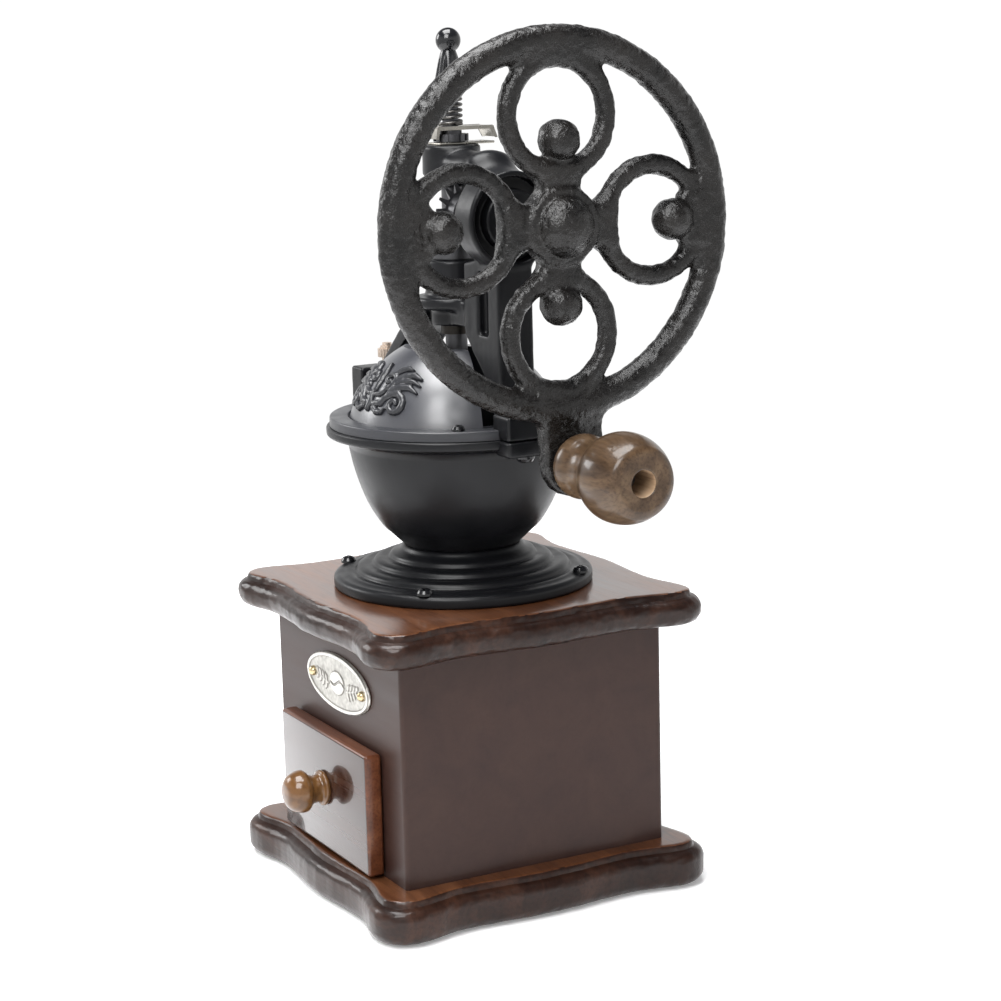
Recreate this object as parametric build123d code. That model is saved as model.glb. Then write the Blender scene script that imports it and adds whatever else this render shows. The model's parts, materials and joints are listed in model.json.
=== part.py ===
from build123d import *
import math
import os

# Hand crank coffee grinder, in millimetres. +Z is up and Z = 0 is the floor.
# The grinding spindle stands on the Z axis, the drawer faces -Y, and the
# crank wheel turns about a line parallel to X, on the +X side.

# Wooden box
PLATE = 135.0
PLATE_CORNER = 13.0
BODY = 106.0
BOARD = 8.0
POSTS = ((41.2, 41.2), (-41.2, 41.2), (-41.2, -41.2), (41.2, -41.2))
FELT = 0.8
BASE_TOP = 16.3
BODY_TOP = 99.4
DECK = 111.5
PLAQUE_X = 2.5
PLAQUE_Z = 80.4
PIN_PLACES = (PLAQUE_X - 21, PLAQUE_X + 21)

# Drawer
PANEL_HALF = 37.0
PANEL_LOW = 17.6
PANEL_HIGH = 62.4
PANEL_FRONT = -60.0
PANEL_BACK = -53.6
TRAY_HALF = 33.8
TRAY_LOW = 19.5
TRAY_HIGH = 54.0
TRAY_END = 36.0
TRAY_WALL = 4.0
MOUTH_HALF = 34.4
MOUTH_HIGH = 58.0
KNOB_Z = 41.2

# Hopper and lid
NECK_TOP = 126.5
RIM_LOW = 167.6
RIM_TOP = 171.5
RIM_RADIUS = 48.8
LID_TOP = 175.0
LID_RADIUS = 47.5
LID_SCREWS = ((38.6, -20.2), (-38.6, 20.2))
THROAT = 18.2
DOME_CENTRE = 162.8
DOME_RADIUS = 41.6
DOME_CUT = 199.6
HOOD_CUT = 197.2
DOME_WALL = 2.2
COVER_SPAN = (-133.0, -15.0)
HOOD_SPAN = (15.0, 165.0)

# Tower that carries the two shafts
AXLE_Z = 247.6
SHAFT = 4.0
FIT = 0.05
HEAD_IN = 33.0
HEAD_OUT = 46.0
HEAD_RADIUS = 17.0
BOSS_RADIUS = 10.5
BOSS_LOW = 257.0
BOSS_TOP = 272.0
STEP_LOW = 204.0
STEP_PLATE = 214.5
STEP_TOP = 231.0
NUT_PLACE = (-50.4, -4.2)

# Bevel pair, both gears with the same number of teeth
TEETH = 18
PITCH = 10.8
MODULE = 1.2
TOOTH_RUN = 3.6

# Crank wheel
WHEEL_X = 76.3
RIM_MEAN = 61.3
RIM_TUBE = 5.3
RIM_SEAT = 57.2
LOOP_OFFSET = 36.6
LOOP_MEAN = 18.9
LOOP_HALF = 3.7
ARM_HALF = 3.5
HUB_HALF = 4.2
REST_TURN = 2.5
SPOKE_LEAN = -3.0
PIN_ARM = 81.0
NOSE_RISE = 8.6
NOSE_ROUND = 11.6


def block(x0, x1, y0, y1, z0, z1):
    box = Box(x1 - x0, y1 - y0, z1 - z0)
    return Pos((x0 + x1) / 2, (y0 + y1) / 2, (z0 + z1) / 2) * box


def disc(radius, z0, z1, x=0.0, y=0.0):
    return Pos(x, y, (z0 + z1) / 2) * Cylinder(radius, z1 - z0)


def ring(outer, inner, z0, z1, x=0.0, y=0.0):
    return disc(outer, z0, z1, x, y) - disc(inner, z0 - 1, z1 + 1, x, y)


def rod_x(radius, x0, x1, y=0.0, z=0.0):
    return Pos((x0 + x1) / 2, y, z) * Rot(0, 90, 0) * Cylinder(radius, x1 - x0)


def rod_y(radius, y0, y1, x=0.0, z=0.0):
    return Pos(x, (y0 + y1) / 2, z) * Rot(90, 0, 0) * Cylinder(radius, y1 - y0)


def turned(points):
    # A closed outline of (radius, height) pairs, turned about Z
    outline = Polyline([(r, 0, z) for r, z in points], close=True)
    return revolve(make_face(outline), Axis.Z)


def turned_on_x(points, y=0.0, z=0.0):
    # A closed outline of (radius, x) pairs, turned about a line along X
    return Pos(0, y, z) * Rot(0, 90, 0) * turned(points)


def upright(points, y0, y1):
    # A closed outline of (x, z) pairs, given thickness from y0 to y1
    face = make_face(Polyline([(x, y1, z) for x, z in points], close=True))
    return extrude(face, amount=y1 - y0, dir=(0, -1, 0))


def both_sides(shape):
    return [shape, mirror(shape, Plane.YZ)]


def on_wheel(shape):
    # Turns a piece drawn upright to where the crank stands at rest
    swing = Pos(0, 0, AXLE_Z) * Rot(REST_TURN, 0, 0) * Pos(0, 0, -AXLE_Z)
    return swing * shape


# ---------------------------------------------------------------- wooden box

def plate_outline(inset):
    # Rounded corner lobes, a notch beside each, and a swelling mid-side
    half = PLATE / 2 - inset
    lobe = PLATE / 2 - PLATE_CORNER
    radius = PLATE_CORNER - inset
    waist = half - 3.6
    crown = half - 1.4
    edges = []
    for i in range(4):
        side = Spline(
            [(-lobe, -half), (-34, -waist), (0, -crown), (34, -waist), (lobe, -half)],
            tangents=[(1, 0), (1, 0)],
        )
        corner = CenterArc((lobe, -lobe), radius, -90, 90)
        edges.append(Rot(0, 0, 90 * i) * side)
        edges.append(Rot(0, 0, 90 * i) * corner)
    return make_face(edges)


def moulded_plate(z0, z1):
    # A fat rounded edge below, then a small step in to the flat top
    nose_top = z1 - 2.4
    nose = Pos(0, 0, z0) * extrude(plate_outline(0), amount=nose_top - z0)
    nose = fillet(nose.edges().group_by(Axis.Z)[-1], 3.8)
    nose = fillet(nose.edges().group_by(Axis.Z)[0], 4.4)
    step = Pos(0, 0, z0) * extrude(plate_outline(3.4), amount=z1 - z0)
    step = fillet(step.edges().group_by(Axis.Z)[-1], 1.2)
    return nose + step


def base_plate():
    plate = moulded_plate(FELT, BASE_TOP)
    for x, y in POSTS:
        plate -= disc(2.1, 0, BASE_TOP + 1, x, y)
        plate -= disc(4.2, 0, FELT + 2.6, x, y)
    return plate


def felt_pad():
    # Thin felt sheet glued under the base; it also covers the screw heads
    sheet = block(-56, 56, -56, 56, 0, FELT)
    return fillet(sheet.edges().filter_by(Axis.Z), 8)


def base_screws():
    screws = []
    for x, y in POSTS:
        shank = disc(2.1, FELT + 2.6, 34, x, y)
        head = disc(4.0, FELT + 0.4, FELT + 2.6, x, y)
        slot = block(x - 0.5, x + 0.5, y - 3, y + 3, 0, FELT + 1.3)
        screws.append(shank + head - slot)
    return Compound(children=screws)


def corner_blocks():
    blocks = []
    for x, y in POSTS:
        post = block(x - 3.8, x + 3.8, y - 3.8, y + 3.8, BASE_TOP, BODY_TOP)
        blocks.append(post - disc(2.1, 0, 34.2, x, y))
    return Compound(children=blocks)


def side_board():
    board = block(BODY / 2 - BOARD, BODY / 2, -BODY / 2, BODY / 2, BASE_TOP, BODY_TOP)
    outer = board.edges().filter_by(Axis.Z).group_by(Axis.X)[-1]
    return fillet(outer, 1.6)


def back_board():
    inner = BODY / 2 - BOARD
    return block(-inner, inner, inner, BODY / 2, BASE_TOP, BODY_TOP)


def front_rail():
    inner = BODY / 2 - BOARD
    rail = block(-inner, inner, -BODY / 2, -inner, MOUTH_HIGH, BODY_TOP)
    for x in PIN_PLACES:
        rail -= rod_y(1.0, -BODY / 2 - 1, -BODY / 2 + 5, x, PLAQUE_Z)
    return rail


def front_stiles():
    inner = BODY / 2 - BOARD
    stile = block(MOUTH_HALF, inner, -BODY / 2, -inner, BASE_TOP, MOUTH_HIGH)
    return Compound(children=both_sides(stile))


def drawer_guides():
    inner = BODY / 2 - BOARD
    floor = block(27, MOUTH_HALF, -inner, inner - 9, BASE_TOP, TRAY_LOW - 0.3)
    wall = block(MOUTH_HALF, inner - 8, -inner, inner, BASE_TOP, 34)
    return Compound(children=both_sides(floor + wall))


def top_plate():
    plate = moulded_plate(BODY_TOP, DECK)
    plate -= disc(15, BODY_TOP - 1, DECK + 1)
    for x in (-32, 32):
        for y in (-32, 32):
            plate -= disc(1.6, BODY_TOP + 3, DECK + 1, x, y)
    return plate


def nameplate():
    # Oval plate with a raised border and a generic bean between two sprigs
    face = -BODY / 2
    outer = Ellipse(26.5, 10.5)
    slab = extrude(outer, amount=1.0)
    border = extrude(outer - Ellipse(25.0, 9.0), amount=1.7)
    bean = Pos(0, 0, 0.5) * extrude(Ellipse(6.4, 4.4), amount=1.0)
    crease = Pos(0, 0, 1.1) * extrude(Rot(0, 0, 12) * SlotOverall(11, 0.9), amount=1)
    plate = slab + border + (bean - crease)
    for side in (-1, 1):
        for i in range(3):
            leaf = extrude(Rot(0, 0, side * 28) * Ellipse(2.2, 0.8), amount=1.4)
            plate += Pos(side * (9.0 + 3.4 * i), 1.6 - 0.5 * i, 0) * leaf
            leaf = extrude(Rot(0, 0, -side * 28) * Ellipse(2.2, 0.8), amount=1.4)
            plate += Pos(side * (9.0 + 3.4 * i), -1.6 + 0.5 * i, 0) * leaf
        plate -= Pos(side * 21, 0, 0) * Cylinder(1.0, 6)
    return Pos(PLAQUE_X, face, PLAQUE_Z) * Rot(90, 0, 0) * plate


def nameplate_pins():
    pins = []
    for x in PIN_PLACES:
        shank = rod_y(1.0, -BODY / 2 - 1.2, -BODY / 2 + 4.8, x, PLAQUE_Z)
        head = Pos(x, -BODY / 2 - 1.0, PLAQUE_Z) * Sphere(1.9)
        head -= block(x - 3, x + 3, -BODY / 2 - 1.0, -BODY / 2 + 2, PLAQUE_Z - 3, PLAQUE_Z + 3)
        pins.append(shank + head)
    return Compound(children=pins)


# -------------------------------------------------------------------- drawer

def drawer_front():
    panel = block(-PANEL_HALF, PANEL_HALF, PANEL_FRONT, PANEL_BACK, PANEL_LOW, PANEL_HIGH)
    front = panel.faces().sort_by(Axis.Y)[0].edges()
    panel = chamfer(front, 1.2)
    panel -= rod_y(3.0, PANEL_FRONT - 1, PANEL_BACK + 1, 0, KNOB_Z)
    return panel


def drawer_sides():
    wall = block(TRAY_HALF - TRAY_WALL, TRAY_HALF, PANEL_BACK, TRAY_END, TRAY_LOW, TRAY_HIGH)
    return Compound(children=both_sides(wall))


def drawer_back():
    inner = TRAY_HALF - TRAY_WALL
    return block(-inner, inner, TRAY_END - TRAY_WALL, TRAY_END, TRAY_LOW, TRAY_HIGH - 2)


def drawer_bottom():
    inner = TRAY_HALF - TRAY_WALL
    return block(-inner, inner, PANEL_BACK, TRAY_END - TRAY_WALL, TRAY_LOW, TRAY_LOW + 3)


def drawer_knob():
    # Turned from one piece: base ring, slim neck and a ball
    front = PANEL_FRONT
    outline = [(0, 0), (6.3, 0), (6.5, 1.3), (5.2, 2.2), (5.0, 4.0), (5.7, 6.2), (6.9, 7.4)]
    for degrees in range(-10, 91, 10):
        a = math.radians(degrees)
        outline.append((7.8 * math.cos(a), 9.2 + 6.6 * math.sin(a)))
    outline[-1] = (0, 15.8)
    knob = Pos(0, front, KNOB_Z) * Rot(90, 0, 0) * turned(outline)
    return knob - rod_y(2.0, front - 9, front + 1, 0, KNOB_Z)


def drawer_knob_screw():
    shank = rod_y(2.0, PANEL_FRONT - 8.5, PANEL_BACK, 0, KNOB_Z)
    head = rod_y(3.8, PANEL_BACK, PANEL_BACK + 2.0, 0, KNOB_Z)
    return shank + head


# ---------------------------------------------------------- flange and hopper

def stepped_flange():
    outline = [(THROAT, DECK), (48.1, DECK), (48.1, DECK + 3.6), (47.0, DECK + 4.8)]
    for radius, height in ((40.6, 4.8), (34.4, 7.6), (28.2, 10.2), (23.6, 12.6)):
        outline.append((radius, DECK + height))
        outline.append((radius - 1.2, DECK + height + 1.9))
        outline.append((radius - 2.6, DECK + height + 2.4))
    outline.append((21.5, NECK_TOP))
    outline.append((THROAT, NECK_TOP))
    flange = turned(outline)
    for x in (-32, 32):
        for y in (-32, 32):
            flange -= disc(2.0, DECK - 1, DECK + 8, x, y)
    return flange


def pan_head_screw(radius, height, length):
    # Domed cross-recess head on a plain shank, seat at Z = 0
    profile = [(0, 0), (radius, 0), (radius * 0.98, height * 0.35)]
    profile += [(radius * 0.78, height * 0.78), (radius * 0.4, height), (0, height)]
    screw = turned(profile) + disc(radius * 0.52, -length, 0)
    cross = Box(radius * 1.2, radius * 0.24, height) + Box(radius * 0.24, radius * 1.2, height)
    return screw - Pos(0, 0, height * 1.05) * cross


def flange_screws():
    screws = []
    for i, x in enumerate((-32, 32)):
        for j, y in enumerate((-32, 32)):
            turn = Rot(0, 0, 20 + 31 * i + 47 * j)
            screw = pan_head_screw(2.9, 2.3, 7.5)
            screws.append(Pos(x, y, DECK + 4.8) * turn * screw)
    return Compound(children=screws)


def hopper_bowl():
    wall = [(21.5, NECK_TOP), (26.2, 131), (30.0, 135), (34.2, 142), (37.2, 149.5)]
    wall += [(39.4, 157), (40.8, 164)]
    lining = [(r - 3.0, z + 0.8) for r, z in reversed(wall[1:])]
    outer = Spline([(r, 0, z) for r, z in wall])
    lip = Polyline([
        (40.8, 0, 164), (42.4, 0, RIM_LOW - 1.2), (47.6, 0, RIM_LOW),
        (RIM_RADIUS, 0, RIM_LOW + 1.0), (RIM_RADIUS, 0, RIM_TOP), (38.4, 0, RIM_TOP),
        (lining[0][0], 0, lining[0][1]),
    ])
    inner = Spline([(r, 0, z) for r, z in lining])
    floor = Polyline([
        (lining[-1][0], 0, lining[-1][1]), (THROAT, 0, NECK_TOP + 1.6),
        (THROAT, 0, NECK_TOP), (21.5, 0, NECK_TOP),
    ])
    bowl = revolve(make_face([outer, lip, inner, floor]), Axis.Z)
    lug = block(44, 55, -9, 9, RIM_LOW - 2, RIM_TOP)
    lug = fillet(lug.edges().filter_by(Axis.Z).group_by(Axis.X)[-1], 3)
    left = mirror(lug, Plane.YZ)
    bowl += lug + left
    for x in (-50, 50):
        bowl -= disc(1.9, RIM_LOW - 4, RIM_TOP + 1, x, 0)
    for x, y in LID_SCREWS:
        bowl -= disc(1.3, RIM_LOW + 0.6, RIM_TOP + 1, x, y)
    return bowl


def outer_burr():
    ring_body = turned([(15.4, DECK + 1), (THROAT, DECK + 1), (THROAT, 130), (9.6, 130)])
    for i in range(14):
        groove = Box(1.3, 1.3, 30)
        lean = Rot(0, 0, i * 360 / 14) * Pos(12.5, 0, 121) * Rot(9, -18, 0)
        ring_body -= lean * groove
    return ring_body


def lid_ring():
    plate = ring(LID_RADIUS, 36.6, RIM_TOP, LID_TOP)
    plate = chamfer(plate.edges().filter_by(GeomType.CIRCLE).sort_by(Axis.Z)[-1], 0.5)
    groove = ring(40.5, 37.3, LID_TOP - 1.2, LID_TOP + 1)
    plate -= groove
    plate -= block(41.6, 60, -9.2, 9.2, RIM_TOP - 1, LID_TOP + 1)
    plate -= block(-60, -41.6, -9.2, 9.2, RIM_TOP - 1, LID_TOP + 1)
    for x, y in LID_SCREWS:
        plate -= disc(1.9, RIM_TOP - 1, LID_TOP + 1, x, y)
    return plate


def lid_screws():
    screws = []
    for x, y in LID_SCREWS:
        screw = Rot(0, 0, 25 + x) * pan_head_screw(2.4, 2.0, 6.0)
        screws.append(Pos(x, y, LID_TOP) * screw)
    return Compound(children=screws)


def dome_sector(radius, low, top, start, stop):
    # Part of a spherical shell, open at the top, between two bearings
    rims = []
    for r in (radius, radius - DOME_WALL):
        foot = (math.sqrt(r * r - (low - DOME_CENTRE) ** 2), 0, low)
        crown = (math.sqrt(r * r - (top - DOME_CENTRE) ** 2), 0, top)
        a = math.radians(42)
        middle = (r * math.cos(a), 0, DOME_CENTRE + r * math.sin(a))
        rims.append((foot, middle, crown))
    outer, inner = rims
    face = make_face([
        ThreePointArc(*outer), Line(outer[2], inner[2]), ThreePointArc(*inner), Line(inner[0], outer[0]),
    ])
    return Rot(0, 0, start) * revolve(face, Axis.Z, revolution_arc=stop - start)


def dome_cover():
    # Sliding front of the hopper's dome
    return dome_sector(DOME_RADIUS, LID_TOP - 0.9, DOME_CUT, *COVER_SPAN)


def hopper_hood():
    # Fixed back of the dome, a little smaller so the front slides over it
    return dome_sector(DOME_RADIUS - DOME_WALL - 0.4, LID_TOP, HOOD_CUT, *HOOD_SPAN)


def dome_relief():
    # Cast scrollwork standing proud of the cover's front
    band = Pos(0, 0, DOME_CENTRE) * (Sphere(DOME_RADIUS + 1.3) - Sphere(DOME_RADIUS))
    motif = [Pos(0, 3.8) * Ellipse(2.5, 6.6), Pos(0, -5) * Ellipse(2.6, 3.3)]
    for side in (-1, 1):
        motif.append(Pos(side * 14.1, -4.7) * (Circle(4.1) - Circle(2.1)))
        motif.append(Pos(side * 14.1, -4.7) * Circle(1.0))
        motif.append(Pos(side * 7, 2.1) * (Circle(3.2) - Circle(1.5)))
        for x, y, lean, reach in ((14.4, 7.2, -58, 6.8), (16.2, 2.4, -80, 5.3), (10.3, 8.4, -28, 6.1)):
            motif.append(Pos(side * x, y) * Rot(0, 0, side * lean) * Ellipse(1.9, reach))
        for x, y, lean, length in ((4.6, -2.7, 40, 12.9), (9.5, -3, 25, 11.4)):
            motif.append(Pos(side * x, y) * Rot(0, 0, side * lean) * SlotOverall(length, 2))
    stamp = extrude(Sketch() + motif, amount=60)
    aim = Pos(0, 0, DOME_CENTRE) * Rot(0, 0, 4) * Rot(54, 0, 0)
    return (aim * stamp) & band


# --------------------------------------------------------------------- tower

def clearance_arc(gap, start, stop, count):
    # Points on a circle that follows the cover at a constant gap
    radius = DOME_RADIUS + gap
    points = []
    for i in range(count + 1):
        x = start + (stop - start) * i / count
        points.append((x, DOME_CENTRE + math.sqrt(radius * radius - x * x)))
    return points


def tower_column():
    # Ribbed post: the inner edge sweeps over the cover down to the foot
    inner = clearance_arc(3.6, 41.7, 20.0, 8)
    outline = [(52.5, 180), (47.5, 184), (46, 190), (46, 236), (33, 236), (28, 233), (20, 231.5)]
    outline += list(reversed(inner))
    outline.append((42, 180))
    post = upright(outline, -7, 7)
    channel = upright([(29, 210), (34, 206), (34, 229), (29, 229)], -8, -4.2)
    post -= channel
    post -= mirror(channel, Plane.XZ)
    return post - rod_x(HEAD_RADIUS, HEAD_IN, HEAD_OUT, 0, AXLE_Z)


def tower_foot():
    foot = block(42, 54, -8.5, 8.5, RIM_TOP, 180)
    foot = fillet(foot.edges().filter_by(Axis.Z), 1.5)
    return foot - disc(1.9, RIM_TOP - 1, 177, 50, 0)


def bearing_head():
    # Round housing with a recess in its outer face around the shaft's boss
    head = rod_x(HEAD_RADIUS, HEAD_IN, HEAD_OUT, 0, AXLE_Z)
    head += rod_x(8, 24, HEAD_IN, 0, AXLE_Z)
    recess = rod_x(15.0, HEAD_OUT - 5, HEAD_OUT + 1, 0, AXLE_Z)
    recess -= rod_x(10.5, HEAD_OUT - 6, HEAD_OUT + 2, 0, AXLE_Z)
    head -= recess
    head -= rod_x(5.6, 20, 50, 0, AXLE_Z)
    return head


def top_boss():
    outline = [(5.6, BOSS_LOW), (7.5, BOSS_LOW), (BOSS_RADIUS, BOSS_LOW + 5)]
    outline += [(BOSS_RADIUS, BOSS_TOP - 1), (BOSS_RADIUS - 1, BOSS_TOP), (5.6, BOSS_TOP)]
    return turned(outline)


def top_arm():
    # Rounded arm from the housing over to the boss
    outline = [(6, 262.6), (20, 262.6), (27, 262), (33, 259.5)]
    outline += [(45.8, 255), (45.4, 259), (43, 264), (39, 268), (34, 270.6), (28, 271), (6, 271)]
    arm = upright(outline, -7, 7)
    ridge = arm.edges().filter_by(Axis.X).group_by(Axis.Z)[-1]
    arm = chamfer(ridge, 2.0)
    arm -= rod_x(HEAD_RADIUS, HEAD_IN, HEAD_OUT, 0, AXLE_Z)
    return arm - disc(BOSS_RADIUS, 250, 280)


def step_boss():
    # Lower bearing: a drum on a round shelf, with a short neck below
    outline = [(5.6, STEP_LOW), (9, STEP_LOW), (9.6, 211), (14.2, STEP_PLATE)]
    outline += [(15, STEP_PLATE + 0.6), (15, 217), (13.6, 218.6), (10.8, 220)]
    outline += [(10.8, STEP_TOP - 0.8), (10, STEP_TOP), (5.6, STEP_TOP)]
    return turned(outline)


def step_bridge():
    # Web between the lower bearing and the post
    outline = [(8, 210), (20, 208), (20, 218), (8, 218)]
    return upright(outline, -6, 6) - turned([
        (0, 200), (9, 200), (9.6, 211), (14.2, STEP_PLATE), (15, STEP_PLATE + 0.6), (15, 220), (0, 220)])


def left_leg():
    # Sloping leg from the shelf to the foot on the far side
    under = clearance_arc(3.6, -41.7, -14.0, 8)
    outline = list(under) + [(-8, 209), (-8, 217), (-14, 216.5), (-46, 189), (-53, 186), (-53, 180)]
    leg = upright(outline, -9, 9) - disc(2.0, 178, 196, *NUT_PLACE)
    return leg - turned([
        (0, 200), (9, 200), (9.6, 211), (14.2, STEP_PLATE), (15, STEP_PLATE + 0.6), (15, 220), (0, 220)])


def left_foot():
    foot = block(-54, -42, -8.5, 8.5, RIM_TOP, 180)
    foot = fillet(foot.edges().filter_by(Axis.Z), 1.5)
    wing = block(-53, -43.5, -18.4, -9.0, LID_TOP, 187.5)
    foot += wing + block(-53, -43.5, -9.0, -8.0, LID_TOP, 180)
    foot -= disc(2.0, 178, 196, *NUT_PLACE)
    return foot - disc(1.9, RIM_TOP - 1, 177, -50, 0)


def foot_screws():
    screws = []
    for x in (-50, 50):
        screw = pan_head_screw(3.4, 2.4, 11)
        screws.append(Pos(x, 0, RIM_LOW - 2) * Rot(180, 0, 0) * screw)
    return Compound(children=screws)


def thumb_nut():
    # Knurled brass screw through the top of the far foot
    nut = disc(3.6, 190, 193.2)
    for i in range(18):
        flute = disc(0.42, 189, 194, 3.8, 0)
        nut -= Rot(0, 0, 20 * i) * flute
    nut += disc(2.6, 193.2, 194.2) + disc(1.8, 194.2, 195.4) + disc(2.0, 181, 190)
    x, y = NUT_PLACE
    return Pos(x, y, 0) * nut


def shaft_bushes():
    # Five plain bushes: two for the crank's axle and three for the spindle
    inner = turned_on_x([(SHAFT + FIT, 24), (5.6, 24), (5.6, 31), (SHAFT + FIT, 31)], 0, AXLE_Z)
    outer = turned_on_x([(SHAFT + FIT, 39), (5.6, 39), (5.6, 46), (SHAFT + FIT, 46)], 0, AXLE_Z)
    lower = ring(5.6, SHAFT + FIT, STEP_LOW, STEP_LOW + 9)
    middle = ring(5.6, SHAFT + FIT, STEP_TOP - 9, STEP_TOP)
    upper = ring(5.6, SHAFT + FIT, BOSS_LOW, BOSS_TOP)
    return Compound(children=[inner, outer, lower, middle, upper])


# --------------------------------------------------------------- bevel gears

def bevel_gear(phase):
    # Axis on Z, teeth converging on the origin above, wide end at Z = -PITCH
    tip = math.tan(math.radians(45 + 4.2))
    root = math.tan(math.radians(45 - 5.4))
    step = 360 / TEETH
    outline = []
    for i in range(TEETH):
        middle = phase + i * step
        for offset, slope in ((-0.34, root), (-0.11, tip), (0.11, tip), (0.34, root)):
            a = math.radians(middle + offset * step)
            outline.append((slope * math.cos(a), slope * math.sin(a)))
    wide = PITCH
    narrow = PITCH - TOOTH_RUN
    lower = Polyline([(x * wide, y * wide, -wide) for x, y in outline], close=True)
    upper = Polyline([(x * narrow, y * narrow, -narrow) for x, y in outline], close=True)
    return Part() + Solid.make_loft([lower.wire(), upper.wire()], True)


def drive_bevel_gear():
    gear = bevel_gear(0)
    gear = Pos(0, 0, AXLE_Z) * Rot(0, -90, 0) * gear
    gear += rod_x(8.2, PITCH, 16, 0, AXLE_Z)
    return gear - rod_x(SHAFT, 0, 20, 0, AXLE_Z)


def spindle_bevel_gear():
    gear = Pos(0, 0, AXLE_Z) * bevel_gear(0.5 * 360 / TEETH)
    gear += disc(8.2, STEP_TOP + 0.4, AXLE_Z - PITCH)
    bore = disc(SHAFT + FIT, 220, 250) - block(-6, 6, 3.25, 6, 220, 250)
    return gear - bore


# ------------------------------------------------------------ spindle and top

def spindle():
    shaft = disc(SHAFT, 104, 277.0)
    shaft -= block(-6, 6, 3.2, 6, 224, 256)
    shaft += disc(2.9, 277.0, 296)
    shaft -= block(-4, 4, 2.4, 4, 277.0, 284)
    shaft -= block(-4, 4, -4, -2.4, 277.0, 284)
    return shaft


def inner_burr():
    cone = turned([(SHAFT, 114), (13.4, 114), (13.4, 115.5), (8.0, 131), (6.4, 136), (SHAFT, 137)])
    for i in range(11):
        groove = Box(1.6, 1.5, 34)
        lean = Rot(0, 0, i * 360 / 11) * Pos(12.2, 0, 122) * Rot(-12, -20, 0)
        cone -= lean * groove
    return cone


def burr_nut():
    nut = Pos(0, 0, 108.5) * extrude(RegularPolygon(6.6, 6), amount=5.5)
    return nut - disc(SHAFT, 100, 120)


def click_base():
    # Nickel strip on top of the boss; the adjusting nut turns against it
    strip = block(-5, 5, -7.0, 15.2, BOSS_TOP, BOSS_TOP + 0.9)
    strip = fillet(strip.edges().filter_by(Axis.Z), 1.2)
    return strip - disc(SHAFT + FIT, BOSS_TOP - 1, BOSS_TOP + 2)


def adjust_nut():
    # Notched nut on the spindle's thread; it bears on the strip below it
    nut = disc(6.4, BOSS_TOP + 1.2, BOSS_TOP + 3.8)
    for i in range(12):
        notch = block(5.6, 8, -0.7, 0.7, BOSS_TOP, BOSS_TOP + 5)
        nut -= Rot(0, 0, 30 * i) * notch
    return nut - disc(SHAFT + FIT, BOSS_TOP, BOSS_TOP + 6)


def click_plate():
    # Sprung strip on the spindle's flats; both ends slope down past the nut
    top = BOSS_TOP + 6.4
    low = BOSS_TOP + 2.2
    under = [(-7.5, low), (-6.9, top - 1.0), (13.6, top - 1.0), (15.4, low), (16.2, low)]
    over = [(14.4, top), (-7.6, top), (-8.2, low)]
    face = make_face(Polyline([(5, y, z) for y, z in under + over], close=True))
    plate = extrude(face, amount=10, dir=(-1, 0, 0))
    bore = disc(2.96, BOSS_TOP, top + 2) & block(-4, 4, -2.46, 2.46, BOSS_TOP, top + 2)
    return plate - bore


def spring():
    # Open coil round the spindle's upper end
    coil = Helix(1.75, 10.0, 4.0)
    start = Plane(origin=coil @ 0, z_dir=coil % 0)
    return Pos(0, 0, 279.3) * sweep(start * Circle(0.55), path=coil)


def finial():
    # Fluted grip with a ball on top, screwed to the spindle's end
    outline = [(0, 290), (5.2, 290), (5.6, 291.2), (5.4, 293), (4.6, 297), (3.7, 301), (3.1, 305)]
    outline += [(0, 305)]
    body = turned(outline)
    for i in range(8):
        flute = Pos(5.9, 0, 297.6) * Rot(0, -11, 0) * Cylinder(1.3, 9.4)
        body -= Rot(0, 0, 45 * i) * flute
    body += Pos(0, 0, 308.8) * Sphere(4.5)
    return body - disc(2.9, 285, 296)


# --------------------------------------------------------------- crank wheel

def on_spokes(shape):
    # The hub and loops stand a little out of line with the handle's lug
    return on_wheel(about_axle(shape, SPOKE_LEAN))


def rim_seat():
    # Inner face of the rim, where the four loops meet it
    return rod_x(RIM_SEAT, 60, 90, 0, AXLE_Z)


def wheel_rim():
    rim = Pos(WHEEL_X, 0, AXLE_Z) * Rot(0, 90, 0) * Torus(RIM_MEAN, RIM_TUBE)
    return on_wheel(rim - rim_seat() - lug_shape())


def lug_shape():
    # Flat lug below the rim, rounded at its lower end
    low = AXLE_Z - PIN_ARM
    lug = block(WHEEL_X - ARM_HALF, WHEEL_X + ARM_HALF, -11.5, 11.5, low, AXLE_Z - RIM_MEAN)
    return lug + rod_x(11.5, WHEEL_X - ARM_HALF, WHEEL_X + ARM_HALF, 0, low)


def handle_lug():
    return on_wheel(lug_shape() - rod_x(3.0, 70, 82, 0, AXLE_Z - PIN_ARM))


def about_axle(shape, degrees):
    return Pos(0, 0, AXLE_Z) * Rot(degrees, 0, 0) * Pos(0, 0, -AXLE_Z) * shape


def loop_shape():
    # The uppermost open loop between the hub and the rim
    ring_body = Rot(0, 90, 0) * Torus(LOOP_MEAN, LOOP_HALF)
    return Pos(WHEEL_X, 0, AXLE_Z + LOOP_OFFSET) * ring_body


def wheel_loops():
    beyond = rod_x(80, 60, 90, 0, AXLE_Z) - rim_seat()
    loop = loop_shape() - beyond - cross_shape()
    turns = [about_axle(loop, 90 * i) for i in range(4)]
    return Compound(children=[on_spokes(turn) for turn in turns])


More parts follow.
